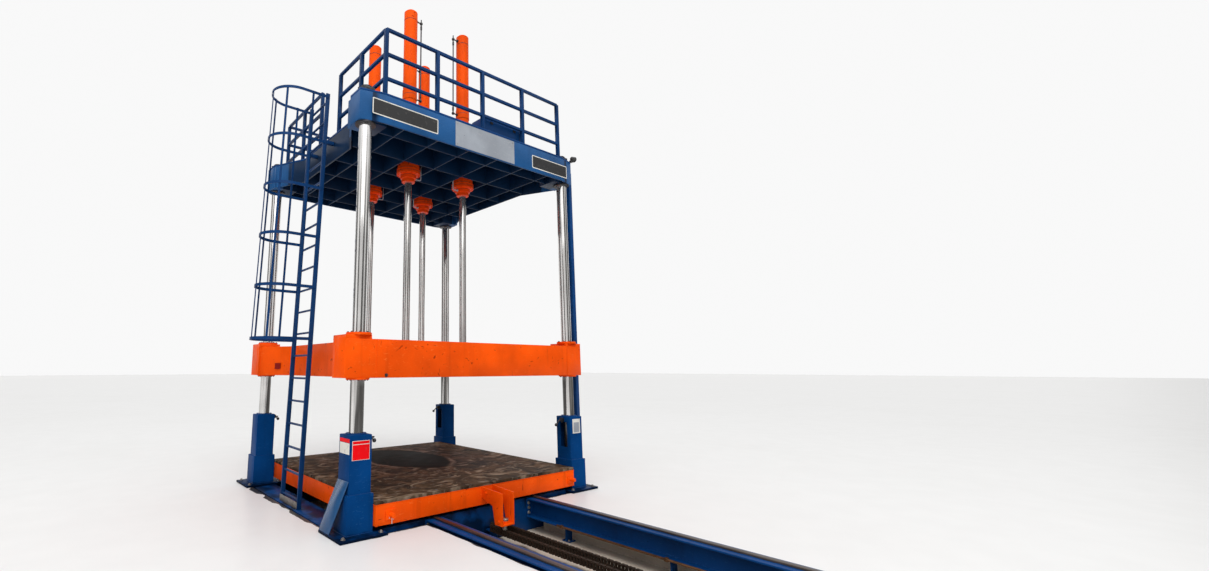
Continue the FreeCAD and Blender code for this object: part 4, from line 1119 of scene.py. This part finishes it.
def hall():
    """Pale floor with the press's pit and the rails' trench let into it, and a near-black band
    along the pit's edge: broken concrete and painted shade of the gap.
    """
    pale = concrete("hall_floor", (0.75, 0.747, 0.74), (0.7, 0.695, 0.68), 0.3, 0.012)
    sunk = concrete("pit_floor", (0.75, 0.67, 0.56), (0.2, 0.165, 0.125), soil=greased)
    # Near-black tone of the band along the pit's edge: broken concrete and painted shade of the
    # gap.
    soil = concrete("pit_edge", (0.035, 0.033, 0.03), (0.015, 0.014, 0.013))
    top, low, edge = Shape(), Shape(), Shape()
    xs = [-HALL, -PIT_X, -TRENCH_X, TRENCH_X, PIT_X, HALL]
    ys = [-HALL, TRENCH_Y, -PIT_Y, PIT_Y, HALL]
    for x0, x1 in zip(xs, xs[1:]):
        for y0, y1 in zip(ys, ys[1:]):
            in_pit = x0 >= -PIT_X and x1 <= PIT_X and y0 == -PIT_Y
            in_trench = x0 == -TRENCH_X and y0 == TRENCH_Y
            if not (in_pit or in_trench):
                corners = ((x0, y0), (x1, y0), (x1, y1), (x0, y1))
                top.add([(*corner, FLOOR) for corner in corners], [(0, 1, 2, 3)])
    top.build("hall_floor", pale, body=None)
    rim = [(-PIT_X, PIT_Y), (PIT_X, PIT_Y), (PIT_X, -PIT_Y), (TRENCH_X, -PIT_Y),
           (TRENCH_X, TRENCH_Y), (-TRENCH_X, TRENCH_Y), (-TRENCH_X, -PIT_Y), (-PIT_X, -PIT_Y)]
    for start, end in zip(rim, rim[1:] + rim[:1]):
        low.add([(*start, FLOOR), (*end, FLOOR), (*end, PIT_FLOOR), (*start, PIT_FLOOR)],
                [(0, 1, 2, 3)])
        at_trench = start[1] == TRENCH_Y or end[1] == TRENCH_Y
        ragged_edge(edge, Vector((*start, 0)), Vector((*end, 0)), 0.35 if at_trench else 1)
    low.add([(*spot, PIT_FLOOR) for spot in rim], [tuple(range(len(rim)))[::-1]])
    low.build("pit", sunk, body=None)
    edge.build("pit_edge", soil, body=None)


def ragged_edge(shape, start, end, width):
    """A broken dark band along one side of the pit, a hair above the floor: broken concrete and
    painted shade of the gap.
    """
    along = end - start
    steps = int(along.length / EDGE_STEP)
    out = Vector((-along.y, along.x, 0)).normalized()
    level = FLOOR + 0.0006
    broken = [dice.random() for _ in range(steps // CHUNK + 3)]
    verts = []
    for step in range(steps + 1):
        spot = start + along * step / steps
        place, share = divmod(step / CHUNK, 1)
        share = share * share * (3 - 2 * share)
        chunk = broken[int(place)] * (1 - share) + broken[int(place) + 1] * share
        reach = (0.014 + 0.075 * chunk ** 2 + 0.01 * dice.random()) * width
        verts += [at(spot, level), at(spot + out * reach, level)]
    shape.add(verts, [(2 * i, 2 * i + 1, 2 * i + 3, 2 * i + 2) for i in range(steps)])


# Grey tones round the horizon that only the chrome shows: (share of the turn, brightness).
SKY = ((0.0, 0.04), (0.02, 0.04), (0.035, 1.0), (0.15, 1.0), (0.165, 0.04), (0.21, 0.04),
       (0.225, 0.9), (0.3, 1.0), (0.315, 0.1), (0.43, 0.05), (0.455, 1.0), (0.745, 1.0),
       (0.77, 0.06), (0.875, 0.04), (0.89, 0.95), (0.94, 0.85), (0.955, 0.04), (1.0, 0.04))


def light():
    """White hall: an even bright sky, the chrome's dark low panels, a soft lamp and sun."""
    scene = bpy.context.scene
    scene.view_settings.view_transform = "Standard"
    world = bpy.data.worlds.new("hall")
    scene.world = world
    world.use_nodes = True
    sky = Nodes(world.node_tree, "Generated")
    turn = sky.maths("ARCTAN2", sky.part("X"), sky.part("Y"))
    panels = sky.ramp(sky.band(turn, -math.pi, math.pi),
                      [(share, (tone, tone, tone)) for share, tone in SKY])
    seen = sky.new("LightPath", {}).outputs["Is Camera Ray"]
    white = sky.maths("MAXIMUM", seen, sky.band(sky.part("Z"), 0.3, 0.5))
    back = sky.tree.nodes["Background"]
    back.inputs["Strength"].default_value = 0.945
    sky.put(sky.mix(white, panels, (1, 1, 1, 1)), back.inputs["Color"])
    aim = Vector((0, 0, 2.5))
    place = Vector((-5, -7, 12))
    rig(bpy.data.lights.new("overhead", "AREA"), place,
        (aim - place).to_track_quat("-Z", "Y").to_euler(), shape="RECTANGLE", size=14, size_y=14,
        energy=650)
    rig(bpy.data.lights.new("soft_sun", "SUN"), (0, 0, 0), (0.45, -0.4, 0.2), energy=0.75,
        angle=0.7)


def rig(data, place, turn, **settings):
    """A lamp or a camera, set up and put in the scene."""
    for key, setting in settings.items():
        setattr(data, key, setting)
    item = bpy.data.objects.new(data.name, data)
    item.location = place
    item.rotation_euler = turn
    bpy.context.scene.collection.objects.link(item)
    return item


EYE = Vector((-4.570, -7.071, 2.161))
YAW = 0.658
PITCH_UP = 0.164


def camera():
    """The photo's view: its place, its turn and the part of a wider picture that it shows."""
    bpy.context.scene.camera = rig(
        bpy.data.cameras.new("camera"), EYE, (math.pi / 2 + PITCH_UP, 0, -YAW), lens=15.45,
        sensor_width=36, shift_x=0.121, shift_y=-0.003, clip_end=400)


for make in (dress_nodes, column_rings, stud_ends, foot_bolts, switches, signs, fascia,
             corner_lamp, barrels, glands, feed_pipes, platen_rings, platen_welds, platen_marks,
             rod_feet, cage, ladder_foot, table_trim, clevis_trim, chain, rail_joints, box_trim,
             hall, light, camera):
    make()
